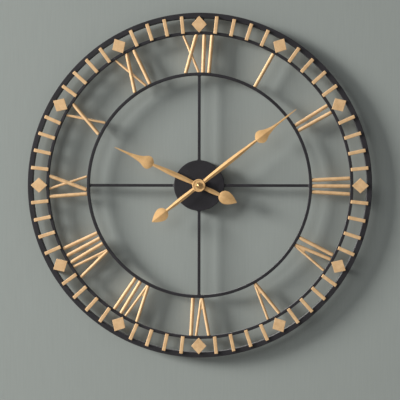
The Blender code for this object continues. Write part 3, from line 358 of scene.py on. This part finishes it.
def stand(bm, name, finish, body, nodes, sharp=35):
    # stands a shape up on the wall as a finished piece of the clock
    bmesh.ops.remove_doubles(bm, verts=bm.verts, dist=mergeDistance)
    faces = {}  # two faces on the same corners enclose nothing, so both go
    for face in bm.faces:
        faces.setdefault(frozenset(face.verts), []).append(face)
    fins = [face for shared in faces.values() if len(shared) > 1 for face in shared]
    bmesh.ops.delete(bm, geom=fins, context="FACES")
    bmesh.ops.transform(bm, matrix=standUp, verts=bm.verts)
    bmesh.ops.recalc_face_normals(bm, faces=bm.faces)
    mesh = bpy.data.meshes.new(name)
    bm.to_mesh(mesh)
    bm.free()
    mesh.shade_smooth()
    mesh.set_sharp_from_angle(angle=math.radians(sharp))
    mesh.materials.append(finish)
    piece = bpy.data.objects.new(name, mesh)
    bpy.context.scene.collection.objects.link(piece)
    flatness = piece.modifiers.new("flat faces stay flat", "WEIGHTED_NORMAL")
    flatness.keep_sharp = True
    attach(piece, body)
    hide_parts(*nodes)
    return piece


def turnedSize(node):
    # least and greatest radius about the hand axis, and height of rear and front above the wall
    points = [v.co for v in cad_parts[node].data.vertices]
    radii = [math.hypot(p.x, p.z) for p in points]
    depths = [-p.y for p in points]
    return min(radii), max(radii), min(depths), max(depths)


def clockwise(degrees):
    return Matrix.Rotation(-math.radians(degrees), 4, "Z")


def rounded(bm, edges, width, segments=3):
    bmesh.ops.bevel(bm, geom=edges, affect="EDGES", offset=width, offset_type="OFFSET", segments=segments,
                    profile=0.5, material=-1, clamp_overlap=True)


def turn(bm, corners, steps, rounding=0.0, segments=3, closed=True):
    # spins a section of (radius, height) corners about z; a corner's third number is its own rounding
    verts = [bm.verts.new((corner[0], 0, corner[1])) for corner in corners]
    if closed:
        bm.faces.new(verts)
    else:
        for first, second in zip(verts, verts[1:]):
            bm.edges.new((first, second))
    for vert, corner in list(zip(verts, corners)):
        width = corner[2] if len(corner) > 2 else rounding
        if width:
            bmesh.ops.bevel(bm, geom=[vert], affect="VERTICES", offset=width, offset_type="OFFSET",
                            segments=segments, profile=0.5, material=-1)
    section = [v for v in bm.verts if v.is_valid and abs(v.co.y) < hair and v.co.x > -hair]
    bmesh.ops.delete(bm, geom=bm.faces[:], context="FACES_ONLY")
    bmesh.ops.spin(bm, geom=section + bm.edges[:], axis=(0, 0, 1), cent=(0, 0, 0), angle=2 * math.pi,
                   steps=steps, use_merge=True)
    bmesh.ops.remove_doubles(bm, verts=bm.verts, dist=fineMerge)


def rod(bm, start, end, radius, sides=28, rounding=0.0):
    # a round rod between two points, with its end edges rounded
    along = Vector(end) - Vector(start)
    middle = Matrix.Translation((Vector(start) + Vector(end)) / 2)
    place = middle @ along.to_track_quat("Z", "X").to_matrix().to_4x4()
    made = bmesh.ops.create_cone(bm, cap_ends=True, segments=sides, radius1=radius, radius2=radius,
                                 depth=along.length, matrix=place)
    if rounding:
        caps = [f for f in {f for v in made["verts"] for f in v.link_faces} if len(f.verts) > 4]
        rounded(bm, list({e for f in caps for e in f.edges}), rounding, 4)


def block(bm, size, place, rounding=0.0):
    made = bmesh.ops.create_cube(bm, size=1, matrix=place @ Matrix.Diagonal((*size, 1)))
    if rounding:
        rounded(bm, list({e for v in made["verts"] for e in v.link_edges}), rounding)


# the ring frame

rings = {"rounding": 0.7 * mm, "steps": 240}


def makeRings():
    for name, node in (("outer_ring_bar", "outer_ring"), ("inner_ring_bar", "inner_ring")):
        inside, outside, rear, front = turnedSize(node)
        bm = bench()
        turn(bm, [(inside, front), (outside, front), (outside, rear), (inside, rear)], rings["steps"],
             rings["rounding"])
        stand(bm, name, black, "frame", [node])
    return turnedSize("outer_ring"), turnedSize("inner_ring")


track = {
    "ringWidth": 5.2 * mm,
    "ringDepth": 7 * mm,
    "barWidth": 6.2 * mm,
    "barRounding": 0.9 * mm,
    "barRoot": 0.6,  # share of the ring's width that a bar covers
    "barLap": 3.8 * mm,  # reach over the outer ring
    "sink": 0.5 * mm,  # how deep a marker is let into the ring's front
    "diamondLength": 29 * mm,
    "diamondWidth": 26.5 * mm,
    "diamondThickness": 2.2 * mm,
    "diamondRounding": 0.45 * mm,
}


def makeTrack(outer):
    inside, _, rear, front = turnedSize("minute_track")
    outside = inside + track["ringWidth"]
    ringFront = rear + track["ringDepth"]
    low = ringFront - track["sink"]
    bm = bench()
    turn(bm, [(inside, ringFront), (outside, ringFront), (outside, rear), (inside, rear)], rings["steps"],
         rings["rounding"])
    stand(bm, "middle_ring_bar", black, "frame", ["minute_track"])

    start = outside - track["ringWidth"] * track["barRoot"]
    end = outer[0] + track["barLap"]
    middle = (start + end) / 2
    square = Matrix.Rotation(math.radians(45), 4, "Z")
    stretch = Matrix.Diagonal((track["diamondWidth"], track["diamondLength"], track["diamondThickness"], 1))
    halfDiagonal = Matrix.Diagonal((math.sqrt(0.5), math.sqrt(0.5), 1, 1))
    bars = bench()
    diamonds = bench()
    for minute in range(60):
        if minute % 5:
            size = (track["barWidth"], end - start, front - low)
            place = clockwise(6 * minute) @ Matrix.Translation((0, middle, (low + front) / 2))
            block(bars, size, place, track["barRounding"])
            continue
        place = clockwise(6 * minute) @ Matrix.Translation((0, middle, low + track["diamondThickness"] / 2))
        made = bmesh.ops.create_cube(diamonds, size=1, matrix=place @ stretch @ square @ halfDiagonal)
        rounded(diamonds, list({e for v in made["verts"] for e in v.link_edges}), track["diamondRounding"])
    stand(bars, "minute_bars", gold, "frame", ["minute_track"])
    stand(diamonds, "hour_diamonds", gold, "frame", ["minute_track"])
    return inside, rear + track["ringDepth"] / 2


spoke = {
    "width": 5 * mm,
    "edge": 0.55 * mm,
    "bite": 0.5 * mm,
    "weldReach": 1.5 * mm,
    "weldSpread": 1.0 * mm,
    "weld": ((0, 1), (0.45, 0.75), (0.95, 0.1), (1.4, 0)),  # shares of the reach and of the spread
    "sharp": 50,  # degrees
}


def makeSpokes(inner, middle):
    hub = turnedSize("hub_cover")[1]
    for name, degrees in (("top", 0), ("right", 90), ("bottom", 180), ("left", 270)):
        # a square bar with a weld bead at either end, four corners turned about its own line
        bm = bench()
        start, end = hub - spoke["bite"], inner[0] + spoke["bite"]
        reach, spread = spoke["weldReach"] + spoke["bite"], spoke["weldSpread"]
        halves = [(start + share * reach, part * spread) for share, part in spoke["weld"]]
        halves += [(end - share * reach, part * spread) for share, part in reversed(spoke["weld"])]
        corners = [((spoke["width"] / 2 + extra) * math.sqrt(2), place) for place, extra in halves]
        turn(bm, [(0, start), *corners, (0, end)], 4, closed=False)
        bmesh.ops.remove_doubles(bm, verts=bm.verts, dist=mergeDistance)
        lengthwise = [e for e in bm.edges if min(v.co.xy.length for v in e.verts) > 1 * mm
                      and abs(e.verts[0].co.z - e.verts[1].co.z) > 0.1 * mm]
        rounded(bm, lengthwise, spoke["edge"])
        along = Matrix.Rotation(math.radians(-90), 4, "X") @ Matrix.Rotation(math.radians(45), 4, "Z")
        bmesh.ops.transform(bm, verts=bm.verts,
                            matrix=Matrix.Translation((0, 0, middle)) @ clockwise(degrees) @ along)
        stand(bm, f"spoke_{name}_bar", black, "frame", [f"spoke_{name}"], spoke["sharp"])


# the numerals

numerals = {
    "thickRod": 3.2 * mm,
    "thinRod": 2.15 * mm,
    "vThickRod": 2.9 * mm,
    "vThinRod": 2.3 * mm,
    "vWebReach": 21 * mm,  # the point of a V is filled this far
    "vWebThickness": 3.6 * mm,
    "xHalfWidth": 11.6 * mm,  # from the middle of an X to the middle of a rod's end
    "vHalfWidth": 11.3 * mm,
    "vPoint": 0.6 * mm,
    "rounding": 1.7 * mm,
    "roundingShare": 0.75,  # the most of a rod's radius that its end is rounded by
    "webRounding": 0.9 * mm,
    "sides": 32,
    "bite": 0.35 * mm,  # how far a rod's end reaches into the weld at the ring
    # hour: the strokes, with their places in degrees from the hour
    "strokes": {
        1: {"i": -0.6},
        2: {"i1": -2.0, "i2": 1.0},
        3: {"i1": -2.8, "i2": 0.2, "i3": 3.2},
        4: {"i": -2.7, "v": 1.7},
        5: {"v": 0.2},
        6: {"v": -1.4, "i": 3.0},
        7: {"v": -3.05, "i1": 1.35, "i2": 4.35},
        8: {"v": -5.5, "i1": -1.1, "i2": 1.9, "i3": 4.9},
        9: {"i": -4.4, "x": 1.1},
        10: {"x": 0.3},
        11: {"x": -1.4, "i": 4.1},
        12: {"x": -3.6, "i1": 1.9, "i2": 4.9},
    },
}


def makeNumerals(inner, trackInside, middle):
    start = inner[1] - numerals["bite"]
    end = trackInside + numerals["bite"]
    for hour, strokes in numerals["strokes"].items():
        for letter, offset in strokes.items():
            if letter[0] == "i":
                rods = [(0, 0, numerals["thickRod"])]
            elif letter == "v":
                rods = [(-numerals["vHalfWidth"], -numerals["vPoint"], numerals["vThickRod"]),
                        (numerals["vHalfWidth"], numerals["vPoint"], numerals["vThinRod"])]
            else:
                rods = [(numerals["xHalfWidth"], -numerals["xHalfWidth"], numerals["thickRod"]),
                        (-numerals["xHalfWidth"], numerals["xHalfWidth"], numerals["thinRod"])]
            place = clockwise(30 * hour + offset)
            shapes = []
            for outerShift, innerShift, radius in rods:
                bm = bench()
                rounding = min(numerals["rounding"], numerals["roundingShare"] * radius)
                near = place @ Vector((innerShift, start, middle))
                far = place @ Vector((outerShift, end, middle))
                rod(bm, near, far, radius, numerals["sides"], rounding)
                shapes.append(bm)
            if letter == "v":
                shapes.append(pointWeb(place, start, end, middle))
            bm = joined(shapes)
            stand(bm, f"rods_{hour}_{letter}", gold, "frame", [f"numeral_{hour}_{letter}"])


def pointWeb(place, start, end, middle):
    # the flat filling between the two rods of a V, from its point outwards
    reach, thickness = numerals["vWebReach"], numerals["vWebThickness"]
    narrow = numerals["vPoint"]
    wide = narrow + (numerals["vHalfWidth"] - narrow) * reach / (end - start)
    low, high = start + numerals["bite"], start + reach
    bm = bench()
    face = bm.faces.new([bm.verts.new((x, y, middle - thickness / 2)) for x, y in
                         ((-narrow, low), (narrow, low), (wide, high), (-wide, high))])
    raised = bmesh.ops.extrude_face_region(bm, geom=[face])["geom"]
    top = [v for v in raised if isinstance(v, bmesh.types.BMVert)]
    bmesh.ops.translate(bm, vec=(0, 0, thickness), verts=top)
    bmesh.ops.recalc_face_normals(bm, faces=bm.faces)
    rounded(bm, [e for e in bm.edges if all(abs(v.co.y - high) < 0.01 * mm for v in e.verts)
                 and abs(e.verts[0].co.x - e.verts[1].co.x) > 1 * mm], numerals["webRounding"])
    bmesh.ops.transform(bm, matrix=place, verts=bm.verts)
    return bm


def shapeOf(bm):
    mesh = bpy.data.meshes.new("shape")
    bm.to_mesh(mesh)
    bm.free()
    shape = bpy.data.objects.new("shape", mesh)
    bpy.context.scene.collection.objects.link(shape)
    return shape


def joined(shapes, operation="UNION"):
    # the first shape with the others joined to it, or cut from it
    if len(shapes) == 1:
        return shapes[0]
    objects = [shapeOf(bm) for bm in shapes]
    for other in objects[1:]:
        boolean = objects[0].modifiers.new("join", "BOOLEAN")
        boolean.operation = operation
        boolean.solver = "EXACT"
        boolean.object = other
    graph = bpy.context.evaluated_depsgraph_get()
    mesh = bpy.data.meshes.new_from_object(objects[0].evaluated_get(graph))
    bm = bench()
    bm.from_mesh(mesh)
    for shape in objects:
        bpy.data.meshes.remove(shape.data)
    bpy.data.meshes.remove(mesh)
    return bm


# the hub and what clamps it

hub = {"rounding": 1.0 * mm, "wall": 1.2 * mm, "edge": 0.2 * mm, "steps": 160}
washer = {"edge": 0.15 * mm, "steps": 64}


def makeHub():
    bore, outside, rear, front = turnedSize("hub_cover")
    wall = hub["wall"]
    bm = bench()
    turn(bm, [(bore, front), (outside, front, hub["rounding"]), (outside, rear), (outside - wall, rear),
              (outside - wall, front - wall), (bore, front - wall)], hub["steps"], hub["edge"])
    stand(bm, "hub_cup", black, "frame", ["hub_cover"])
    bore, outside, rear, front = turnedSize("brass_washer")
    bm = bench()
    section = [(bore, front), (outside, front), (outside, rear), (bore, rear)]
    turn(bm, section, washer["steps"], washer["edge"])
    stand(bm, "washer_disc", brass, "frame", ["brass_washer"])


# the hands

hands = {
    "edge": 0.5 * mm,  # thickness at the rim
    "shaftSlope": 0.44,  # rise of the two faces towards the ridge
    "leafSlope": 0.17,
    "bossSlope": 0.2,
    "bossReach": 10.5 * mm,
    "minuteShaft": (-70.6 * mm, 126.1 * mm),
    "hourShaft": (-38.6 * mm, 87.1 * mm),
    "smoothness": 6,
    "bossStep": 0.2 * mm,
    # half outlines from the tail's point to the head's: distance from the axis, half width, corner
    "minute": ((-103, 0.5, "VECTOR"), (-95, 6.4, "AUTO"), (-87, 10.4, "AUTO"), (-80, 11.3, "AUTO"),
               (-73.5, 7.8, "AUTO"), (-70.5, 2.6, "VECTOR"), (-38, 4.0, "AUTO"), (-10, 3.3, "VECTOR"),
               (10, 3.3, "VECTOR"),
               (66, 4.5, "AUTO"), (126, 2.3, "VECTOR"), (129, 7.4, "AUTO"), (136, 11.4, "AUTO"),
               (150, 6.2, "AUTO"), (166, 2.5, "AUTO"), (192, 1.5, "AUTO"), (214, 0.4, "VECTOR")),
    "hour": ((-72, 0.5, "VECTOR"), (-64, 6.4, "AUTO"), (-56, 10.4, "AUTO"), (-48.5, 11.3, "AUTO"),
             (-41.5, 7.8, "AUTO"), (-38.5, 3.0, "VECTOR"), (-24, 4.0, "AUTO"), (-10, 3.3, "VECTOR"),
             (10, 3.3, "VECTOR"),
             (46, 4.5, "AUTO"), (87, 2.3, "VECTOR"), (90, 7.4, "AUTO"), (96, 11.4, "AUTO"),
             (111, 6.0, "AUTO"), (131, 2.4, "AUTO"), (148, 1.3, "AUTO"), (161, 0.4, "VECTOR")),
    "minuteAngle": 51.9,
    "hourAngle": 294.3,
    "sharp": 12,  # degrees, less than the ridge's own angle
    "holeSides": 48,
    "overcut": 5 * mm,
}
boss = {
    "radius": 11.2 * mm,
    "plainBore": 2 * mm,
    "ringedBore": 1 * mm,
    "dish": 8.6 * mm,
    "lipInside": 9.1 * mm,
    "lipOutside": 10.7 * mm,
    "drop": 0.1 * mm,
    "lip": 0.35 * mm,
    "edge": 0.15 * mm,
    "steps": 96,
}
capNut = {
    "seat": 0.1 * mm,
    "skirt": 1.0 * mm,
    "shoulder": 0.35 * mm,
    "crown": 0.62,  # the dome's share of the skirt's radius
    "domeSteps": 8,
    "steps": 64,
}


def halfOutline(points):
    # the outline's right side as a line of edges
    curve = bpy.data.curves.new("outline", "CURVE")
    curve.dimensions = "2D"
    curve.resolution_u = hands["smoothness"]
    spline = curve.splines.new("BEZIER")
    spline.bezier_points.add(len(points) - 1)
    for point, (along, halfWidth, corner) in zip(spline.bezier_points, points):
        point.co = (halfWidth * mm, along * mm, 0)
        point.handle_left_type = corner
        point.handle_right_type = corner
    drawn = bpy.data.objects.new("outline", curve)
    bpy.context.scene.collection.objects.link(drawn)
    bpy.context.view_layer.update()
    graph = bpy.context.evaluated_depsgraph_get()
    mesh = bpy.data.meshes.new_from_object(drawn.evaluated_get(graph))
    bm = bench()
    bm.from_mesh(mesh)
    bpy.data.curves.remove(curve)
    return bm


def ridgedBlade(points, shaft, rear):
    # two slopes that meet in a ridge along the hand, over a flat back
    bm = halfOutline(points)
    rim = bm.edges[:]
    bmesh.ops.translate(bm, vec=(0, 0, rear + hands["edge"]), verts=bm.verts)
    copied = bmesh.ops.duplicate(bm, geom=bm.verts[:] + rim)["geom"]
    crest = [e for e in copied if isinstance(e, bmesh.types.BMEdge)]
    crestVerts = [v for v in copied if isinstance(v, bmesh.types.BMVert)]
    for vert in crestVerts:
        slope = hands["shaftSlope"] if shaft[0] < vert.co.y < shaft[1] else hands["leafSlope"]
        vert.co.z += vert.co.x * (hands["bossSlope"] if abs(vert.co.y) < hands["bossReach"] else slope)
    bmesh.ops.scale(bm, vec=(0, 1, 1), verts=crestVerts)
    copied = bmesh.ops.duplicate(bm, geom=list({v for e in rim for v in e.verts}) + rim)["geom"]
    foot = [e for e in copied if isinstance(e, bmesh.types.BMEdge)]
    footVerts = [v for v in copied if isinstance(v, bmesh.types.BMVert)]
    bmesh.ops.translate(bm, vec=(0, 0, -hands["edge"]), verts=footVerts)
    copied = bmesh.ops.duplicate(bm, geom=footVerts + foot)["geom"]
    keel = [e for e in copied if isinstance(e, bmesh.types.BMEdge)]
    bmesh.ops.scale(bm, vec=(0, 1, 1), verts=[v for v in copied if isinstance(v, bmesh.types.BMVert)])
    for first, second in ((crest, rim), (rim, foot), (foot, keel)):
        bmesh.ops.bridge_loops(bm, edges=first + second)
    bmesh.ops.mirror(bm, geom=bm.verts[:] + bm.edges[:] + bm.faces[:], axis="X", merge_dist=fineMerge)
    bmesh.ops.remove_doubles(bm, verts=bm.verts, dist=mergeDistance)
    bmesh.ops.holes_fill(bm, edges=[e for e in bm.edges if e.is_boundary])
    bmesh.ops.recalc_face_normals(bm, faces=bm.faces)
    return bm


def makeHand(name, node, body, finish, angle, outline, shaft, bossSection):
    bore, _, rear, front = turnedSize(node)
    blade = ridgedBlade(outline, shaft, rear + hands["bossStep"])
    disc = bench()
    turn(disc, bossSection(rear, front), boss["steps"], boss["edge"])
    hole = bench()
    overcut = hands["overcut"]
    rod(hole, (0, 0, rear - overcut), (0, 0, front + overcut), bore, hands["holeSides"])
    bm = joined([joined([blade, disc]), hole], "DIFFERENCE")
    bmesh.ops.triangulate(bm, faces=[f for f in bm.faces if len(f.verts) > 4])
    bmesh.ops.transform(bm, matrix=clockwise(angle), verts=bm.verts)
    stand(bm, name, finish, body, [node], hands["sharp"])


def makeHands():
    def plainBoss(rear, front):
        return [(boss["plainBore"], front), (boss["radius"], front), (boss["radius"], rear),
                (boss["plainBore"], rear)]

    def ringedBoss(rear, front):
        # a raised lip round a shallow dish
        low, high = front - boss["drop"], front + boss["lip"]
        return [(boss["ringedBore"], low), (boss["dish"], low), (boss["lipInside"], high),
                (boss["lipOutside"], high), (boss["radius"], low), (boss["radius"], rear),
                (boss["ringedBore"], rear)]

    makeHand("hour_blade", "hour_hand", "hour_hand", hourGoldPaintedShade, hands["hourAngle"], hands["hour"],
             hands["hourShaft"], plainBoss)
    makeHand("minute_blade", "minute_hand", "minute_hand", minuteGold, hands["minuteAngle"], hands["minute"],
             hands["minuteShaft"], ringedBoss)
    _, outside, rear, front = turnedSize("hand_cap_nut")
    seat, foot, crown = rear + capNut["seat"], rear + capNut["skirt"], outside * capNut["crown"]
    shoulder = foot + capNut["shoulder"]
    section = [(0, seat), (outside, seat), (outside, foot), (crown, shoulder)]
    for step in range(1, capNut["domeSteps"]):
        angle = math.radians(90 * step / capNut["domeSteps"])
        section.append((crown * math.cos(angle), shoulder + (front - shoulder) * math.sin(angle)))
    section.append((0, front))
    bm = bench()
    turn(bm, section, capNut["steps"], closed=False)
    stand(bm, "cap_nut_dome", capGold, "minute_hand", ["hand_cap_nut"])


# everything else: the CAD shape with its edges rounded

caseDetail = {
    "engraving": 0.4 * mm,
    "knobGroove": (6.9 * mm, 7.6 * mm),
    "arrowRing": (9.0 * mm, 9.8 * mm),
    "arrowSweep": 75,  # degrees
    "arrowStarts": (20, 200),
    "arrowHead": 1.6 * mm,
    "arrowShift": 0.4 * mm,
    "ribPlaces": (5, 8, 11, 14, 17, 20),  # mm to the right, seen from the front
    "ribHeight": 15 * mm,
    "ribWidth": 1.1 * mm,
    "ribCentre": 8 * mm,
    "markHeight": -10.6 * mm,
    "markSide": 21 * mm,
    "markSize": 3.6 * mm,
    "markWidth": 0.9 * mm,
    "pinMark": 1.5 * mm,
    "pinRange": (-1 * mm, 0.6),  # from below the case's face, up to this share of the engraving
    "pinSides": 32,
    "pinMarks": ((23.5, 20.5), (-23.5, 20.5), (0.5, -9.5)),
    "clipWindow": (1.6 * mm, 7 * mm, 2.4 * mm),
    "clipHeights": (-8, 14),
    "clipRise": 2.6 * mm,
}
knob = {
    "flutes": 20,
    "fluteRadius": 0.42 * mm,
    "fluteSides": 12,
    "fluteRange": (1 * mm, 1.1 * mm),  # below and above the knob's face
    "slot": (6.2 * mm, 1.1 * mm),
    "slotDepth": 0.6 * mm,
}


def caseCutters():
    # shapes that are cut from the rear half of the movement's case
    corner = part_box("movement_case_rear")
    knobLow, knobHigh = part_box("setting_knob")
    centre = Vector(((knobLow.x + knobHigh.x) / 2, (knobLow.z + knobHigh.z) / 2, 0))
    depth = caseDetail["engraving"]
    plusSide = math.copysign(1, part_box("battery_contact_plus")[0].x)
    cutters = []

    def ringCut(inside, outside, sweep, start):
        bm = bench()
        corners = ((inside, -1 * mm), (outside, -1 * mm), (outside, depth), (inside, depth))
        if sweep == 360:
            turn(bm, corners, 64)
        else:
            bm.faces.new([bm.verts.new((radius, 0, height)) for radius, height in corners])
            bmesh.ops.spin(bm, geom=bm.verts[:] + bm.edges[:] + bm.faces[:], axis=(0, 0, 1), cent=(0, 0, 0),
                           angle=math.radians(sweep), steps=20)
        turned = Matrix.Rotation(math.radians(start), 4, "Z")
        bmesh.ops.transform(bm, matrix=Matrix.Translation(centre) @ turned, verts=bm.verts)
        bmesh.ops.recalc_face_normals(bm, faces=bm.faces)
        cutters.append(bm)

    def blockCut(size, place):
        bm = bench()
        block(bm, size, Matrix.Translation(place))
        cutters.append(bm)

    ringCut(*caseDetail["knobGroove"], 360, 0)
    for start in caseDetail["arrowStarts"]:
        ringCut(*caseDetail["arrowRing"], caseDetail["arrowSweep"], start)
        bm = bench()
        bmesh.ops.create_cone(bm, cap_ends=True, segments=3, radius1=caseDetail["arrowHead"],
                              radius2=caseDetail["arrowHead"], depth=2 * depth)
        radius = sum(caseDetail["arrowRing"]) / 2
        turned = Matrix.Rotation(math.radians(start + caseDetail["arrowSweep"]), 4, "Z")
        outwards = Matrix.Translation((radius, caseDetail["arrowShift"], 0))
        bmesh.ops.transform(bm, matrix=Matrix.Translation(centre) @ turned @ outwards, verts=bm.verts)
        cutters.append(bm)
    for right in caseDetail["ribPlaces"]:
        blockCut((caseDetail["ribWidth"], caseDetail["ribHeight"], 2 * depth),
                 (right * mm, caseDetail["ribCentre"], 0))
    size, width = caseDetail["markSize"], caseDetail["markWidth"]
    for side in (-1, 1):
        blockCut((size, width, 2 * depth), (side * caseDetail["markSide"], caseDetail["markHeight"], 0))
    for shift in (-1, 1):
        half = (size - width) / 2
        blockCut((width, half, 2 * depth), (plusSide * caseDetail["markSide"],
                                            caseDetail["markHeight"] + shift * (width + half) / 2, 0))
    for right, up in caseDetail["pinMarks"]:
        bm = bench()
        below, share = caseDetail["pinRange"]
        rod(bm, (right * mm, up * mm, below), (right * mm, up * mm, share * depth), caseDetail["pinMark"],
            caseDetail["pinSides"])
        cutters.append(bm)
    for side in (corner[0].x, corner[1].x):
        for up in caseDetail["clipHeights"]:
            blockCut(caseDetail["clipWindow"], (side, up * mm, -corner[0].y - caseDetail["clipRise"]))
    return cutters


def knobCutters():
    low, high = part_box("setting_knob")
    centre = Vector(((low.x + high.x) / 2, (low.z + high.z) / 2, -high.y))
    radius = (high.x - low.x) / 2
    cutters = []
    for flute in range(knob["flutes"]):
        bm = bench()
        turned = Matrix.Rotation(2 * math.pi * flute / knob["flutes"], 4, "Z")
        edge = centre + turned @ Vector((radius, 0, 0))
        below, above = knob["fluteRange"]
        rod(bm, edge - Vector((0, 0, below)), edge + Vector((0, 0, above)), knob["fluteRadius"],
            knob["fluteSides"])
        cutters.append(bm)
    bm = bench()
    block(bm, (*knob["slot"], 2 * knob["slotDepth"]), Matrix.Translation(centre))
    cutters.append(bm)
    return cutters


refining = {"flat": 1, "edgeAngle": 30, "sharp": 40}  # degrees


def refined(node, name, finish, body, rounding, cutters=()):
    bm = bench()
    bm.from_mesh(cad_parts[node].data)
    bmesh.ops.remove_doubles(bm, verts=bm.verts, dist=mergeDistance)
    bmesh.ops.dissolve_limit(bm, angle_limit=math.radians(refining["flat"]), verts=bm.verts, edges=bm.edges)
    if rounding:
        least = math.radians(refining["edgeAngle"])
        edges = [e for e in bm.edges if len(e.link_faces) == 2 and e.calc_face_angle(0) > least]
        rounded(bm, edges, rounding, 2)
    bmesh.ops.transform(bm, matrix=standUp.inverted(), verts=bm.verts)
    if cutters:
        bm = joined([bm, *cutters], "DIFFERENCE")
    stand(bm, name, finish, body, [node], refining["sharp"])


def makeMovement():
    table = (
        ("movement_case_rear", "case_shell_rear", casePlastic, "frame", "case_plastic", 0.35),
        ("movement_case_front", "case_shell_front", casePlastic, "frame", "case_plastic", 0.25),
        ("battery_contact_minus", "contact_leaf_minus", steel, "frame", "bright_steel", 0.1),
        ("battery_contact_plus", "contact_leaf_plus", steel, "frame", "bright_steel", 0.1),
        ("stator", "stator_plate", steel, "frame", "bright_steel", 0.1),
        ("drive_coil", "coil_winding", copper, "frame", "copper_wire", 0.1),
        ("circuit_board", "board_with_chip", board, "frame", "circuit_board", 0.1),
        ("quartz_crystal", "crystal_can", steel, "frame", "bright_steel", 0.15),
        ("fixing_nut", "hex_nut", brass, "frame", "brass", 0.25),
        ("hanging_tab", "hanger_plate", black, "frame", "frame_black", 0.3),
        ("wall_pad_1", "pad_right", rubber, "frame", "rubber", 0.5),
        ("wall_pad_2", "pad_left", rubber, "frame", "rubber", 0.5),
        ("battery", "battery_cell", jacket, "battery", "battery_jacket", 0.4),
        ("setting_knob", "knob_and_pinion", gearPlastic, "setting_knob", "gear_plastic", 0.1),
        ("minute_arbor", "arbor_and_pinion", brass, "minute_hand", "brass", 0.05),
        ("hour_wheel", "hour_wheel_and_pipe", gearPlastic, "hour_hand", "gear_plastic", 0.05),
        ("motion_wheel", "motion_wheel_gear", gearPlastic, "motion_wheel", "gear_plastic", 0.05),
        ("rotor", "rotor_magnet", magnet, "rotor", "magnet", 0.05),
        ("step_wheel", "step_wheel_gear", gearPlastic, "step_wheel", "gear_plastic", 0),
        ("seconds_wheel", "seconds_wheel_gear", gearPlastic, "seconds_wheel", "gear_plastic", 0.04),
        ("third_wheel", "third_wheel_gear", gearPlastic, "third_wheel", "gear_plastic", 0.04),
        ("drive_wheel", "drive_wheel_gear", gearPlastic, "drive_wheel", "gear_plastic", 0.04),
    )
    details = {"movement_case_rear": caseCutters, "setting_knob": knobCutters}
    for node, name, finish, body, slot, rounding in table:
        cutters = details[node]() if node in details else ()
        refined(node, name, finish, body, rounding * mm, cutters=cutters)


def stagePanel(name, finish, size, place):
    bm = bench()
    bmesh.ops.create_grid(bm, x_segments=1, y_segments=1, size=size, matrix=place)
    mesh = bpy.data.meshes.new(name)
    bm.to_mesh(mesh)
    bm.free()
    mesh.materials.append(finish)
    piece = bpy.data.objects.new(name, mesh)
    bpy.context.scene.collection.objects.link(piece)
    piece.visible_shadow = False  # light from behind still reaches the clock's rear


def makeRoom():
    middle = (room["wallTop"] + room["floorLevel"]) / 2
    height = (room["wallTop"] - room["floorLevel"]) / 2
    wall = Matrix.Translation((0, room["wallGap"], middle)) @ standUp
    stagePanel("wall", wallPaint(), 1, wall @ Matrix.Diagonal((room["wallHalfWidth"], height, 1, 1)))
    floor = Matrix.Translation((0, 0, room["floorLevel"]))
    stagePanel("floor", floorPaint(), room["floorHalfWidth"], floor)


placeCamera()
placeLamps()
makeRoom()
print("camera, lamps and room ready")

black = powderCoat()
gold = goldPaint()
minuteGold = goldPaint("minute_gold", 1.0, hands["minuteAngle"])
# the hour hand's gold is the hands' gold darkened to 0.90 as painted shade, for the dimmer light on its head
hourGoldPaintedShade = goldPaint("hour_gold_painted_shade", 0.90, hands["hourAngle"])
capGold = turnedMetal("cap_gold", (0.55, 0.34, 0.14), (0.86, 0.62, 0.34), 0.25)
brass = turnedMetal("turned_brass", (0.50, 0.34, 0.12), (0.80, 0.60, 0.28), 0.22)
casePlastic = mouldedPlastic("case_plastic", (0.016, 0.016, 0.018), (0.026, 0.026, 0.028), 0.42)
gearPlastic = mouldedPlastic("gear_plastic", (0.66, 0.65, 0.60), (0.80, 0.79, 0.75), 0.35, 0.3 * mm,
                             0.02 * mm)
rubber = mouldedPlastic("rubber", (0.012, 0.012, 0.012), (0.022, 0.022, 0.022), 0.75, 0.5 * mm, 0.08 * mm)
magnet = mouldedPlastic("magnet", (0.07, 0.07, 0.075), (0.13, 0.13, 0.135), 0.35, 0.25 * mm, 0.03 * mm,
                        Metallic=0.8)
steel = rolledSteel()
copper = coilWire()
board = solderMask()
jacket = cellJacket()
print("materials ready")

outerSize, innerSize = makeRings()
trackInside, ringMiddle = makeTrack(outerSize)
makeSpokes(innerSize, ringMiddle)
print("ring frame ready")
makeNumerals(innerSize, trackInside, ringMiddle)
print("numerals ready")
makeHub()
makeHands()
print("hub and hands ready")
makeMovement()
print("movement ready")
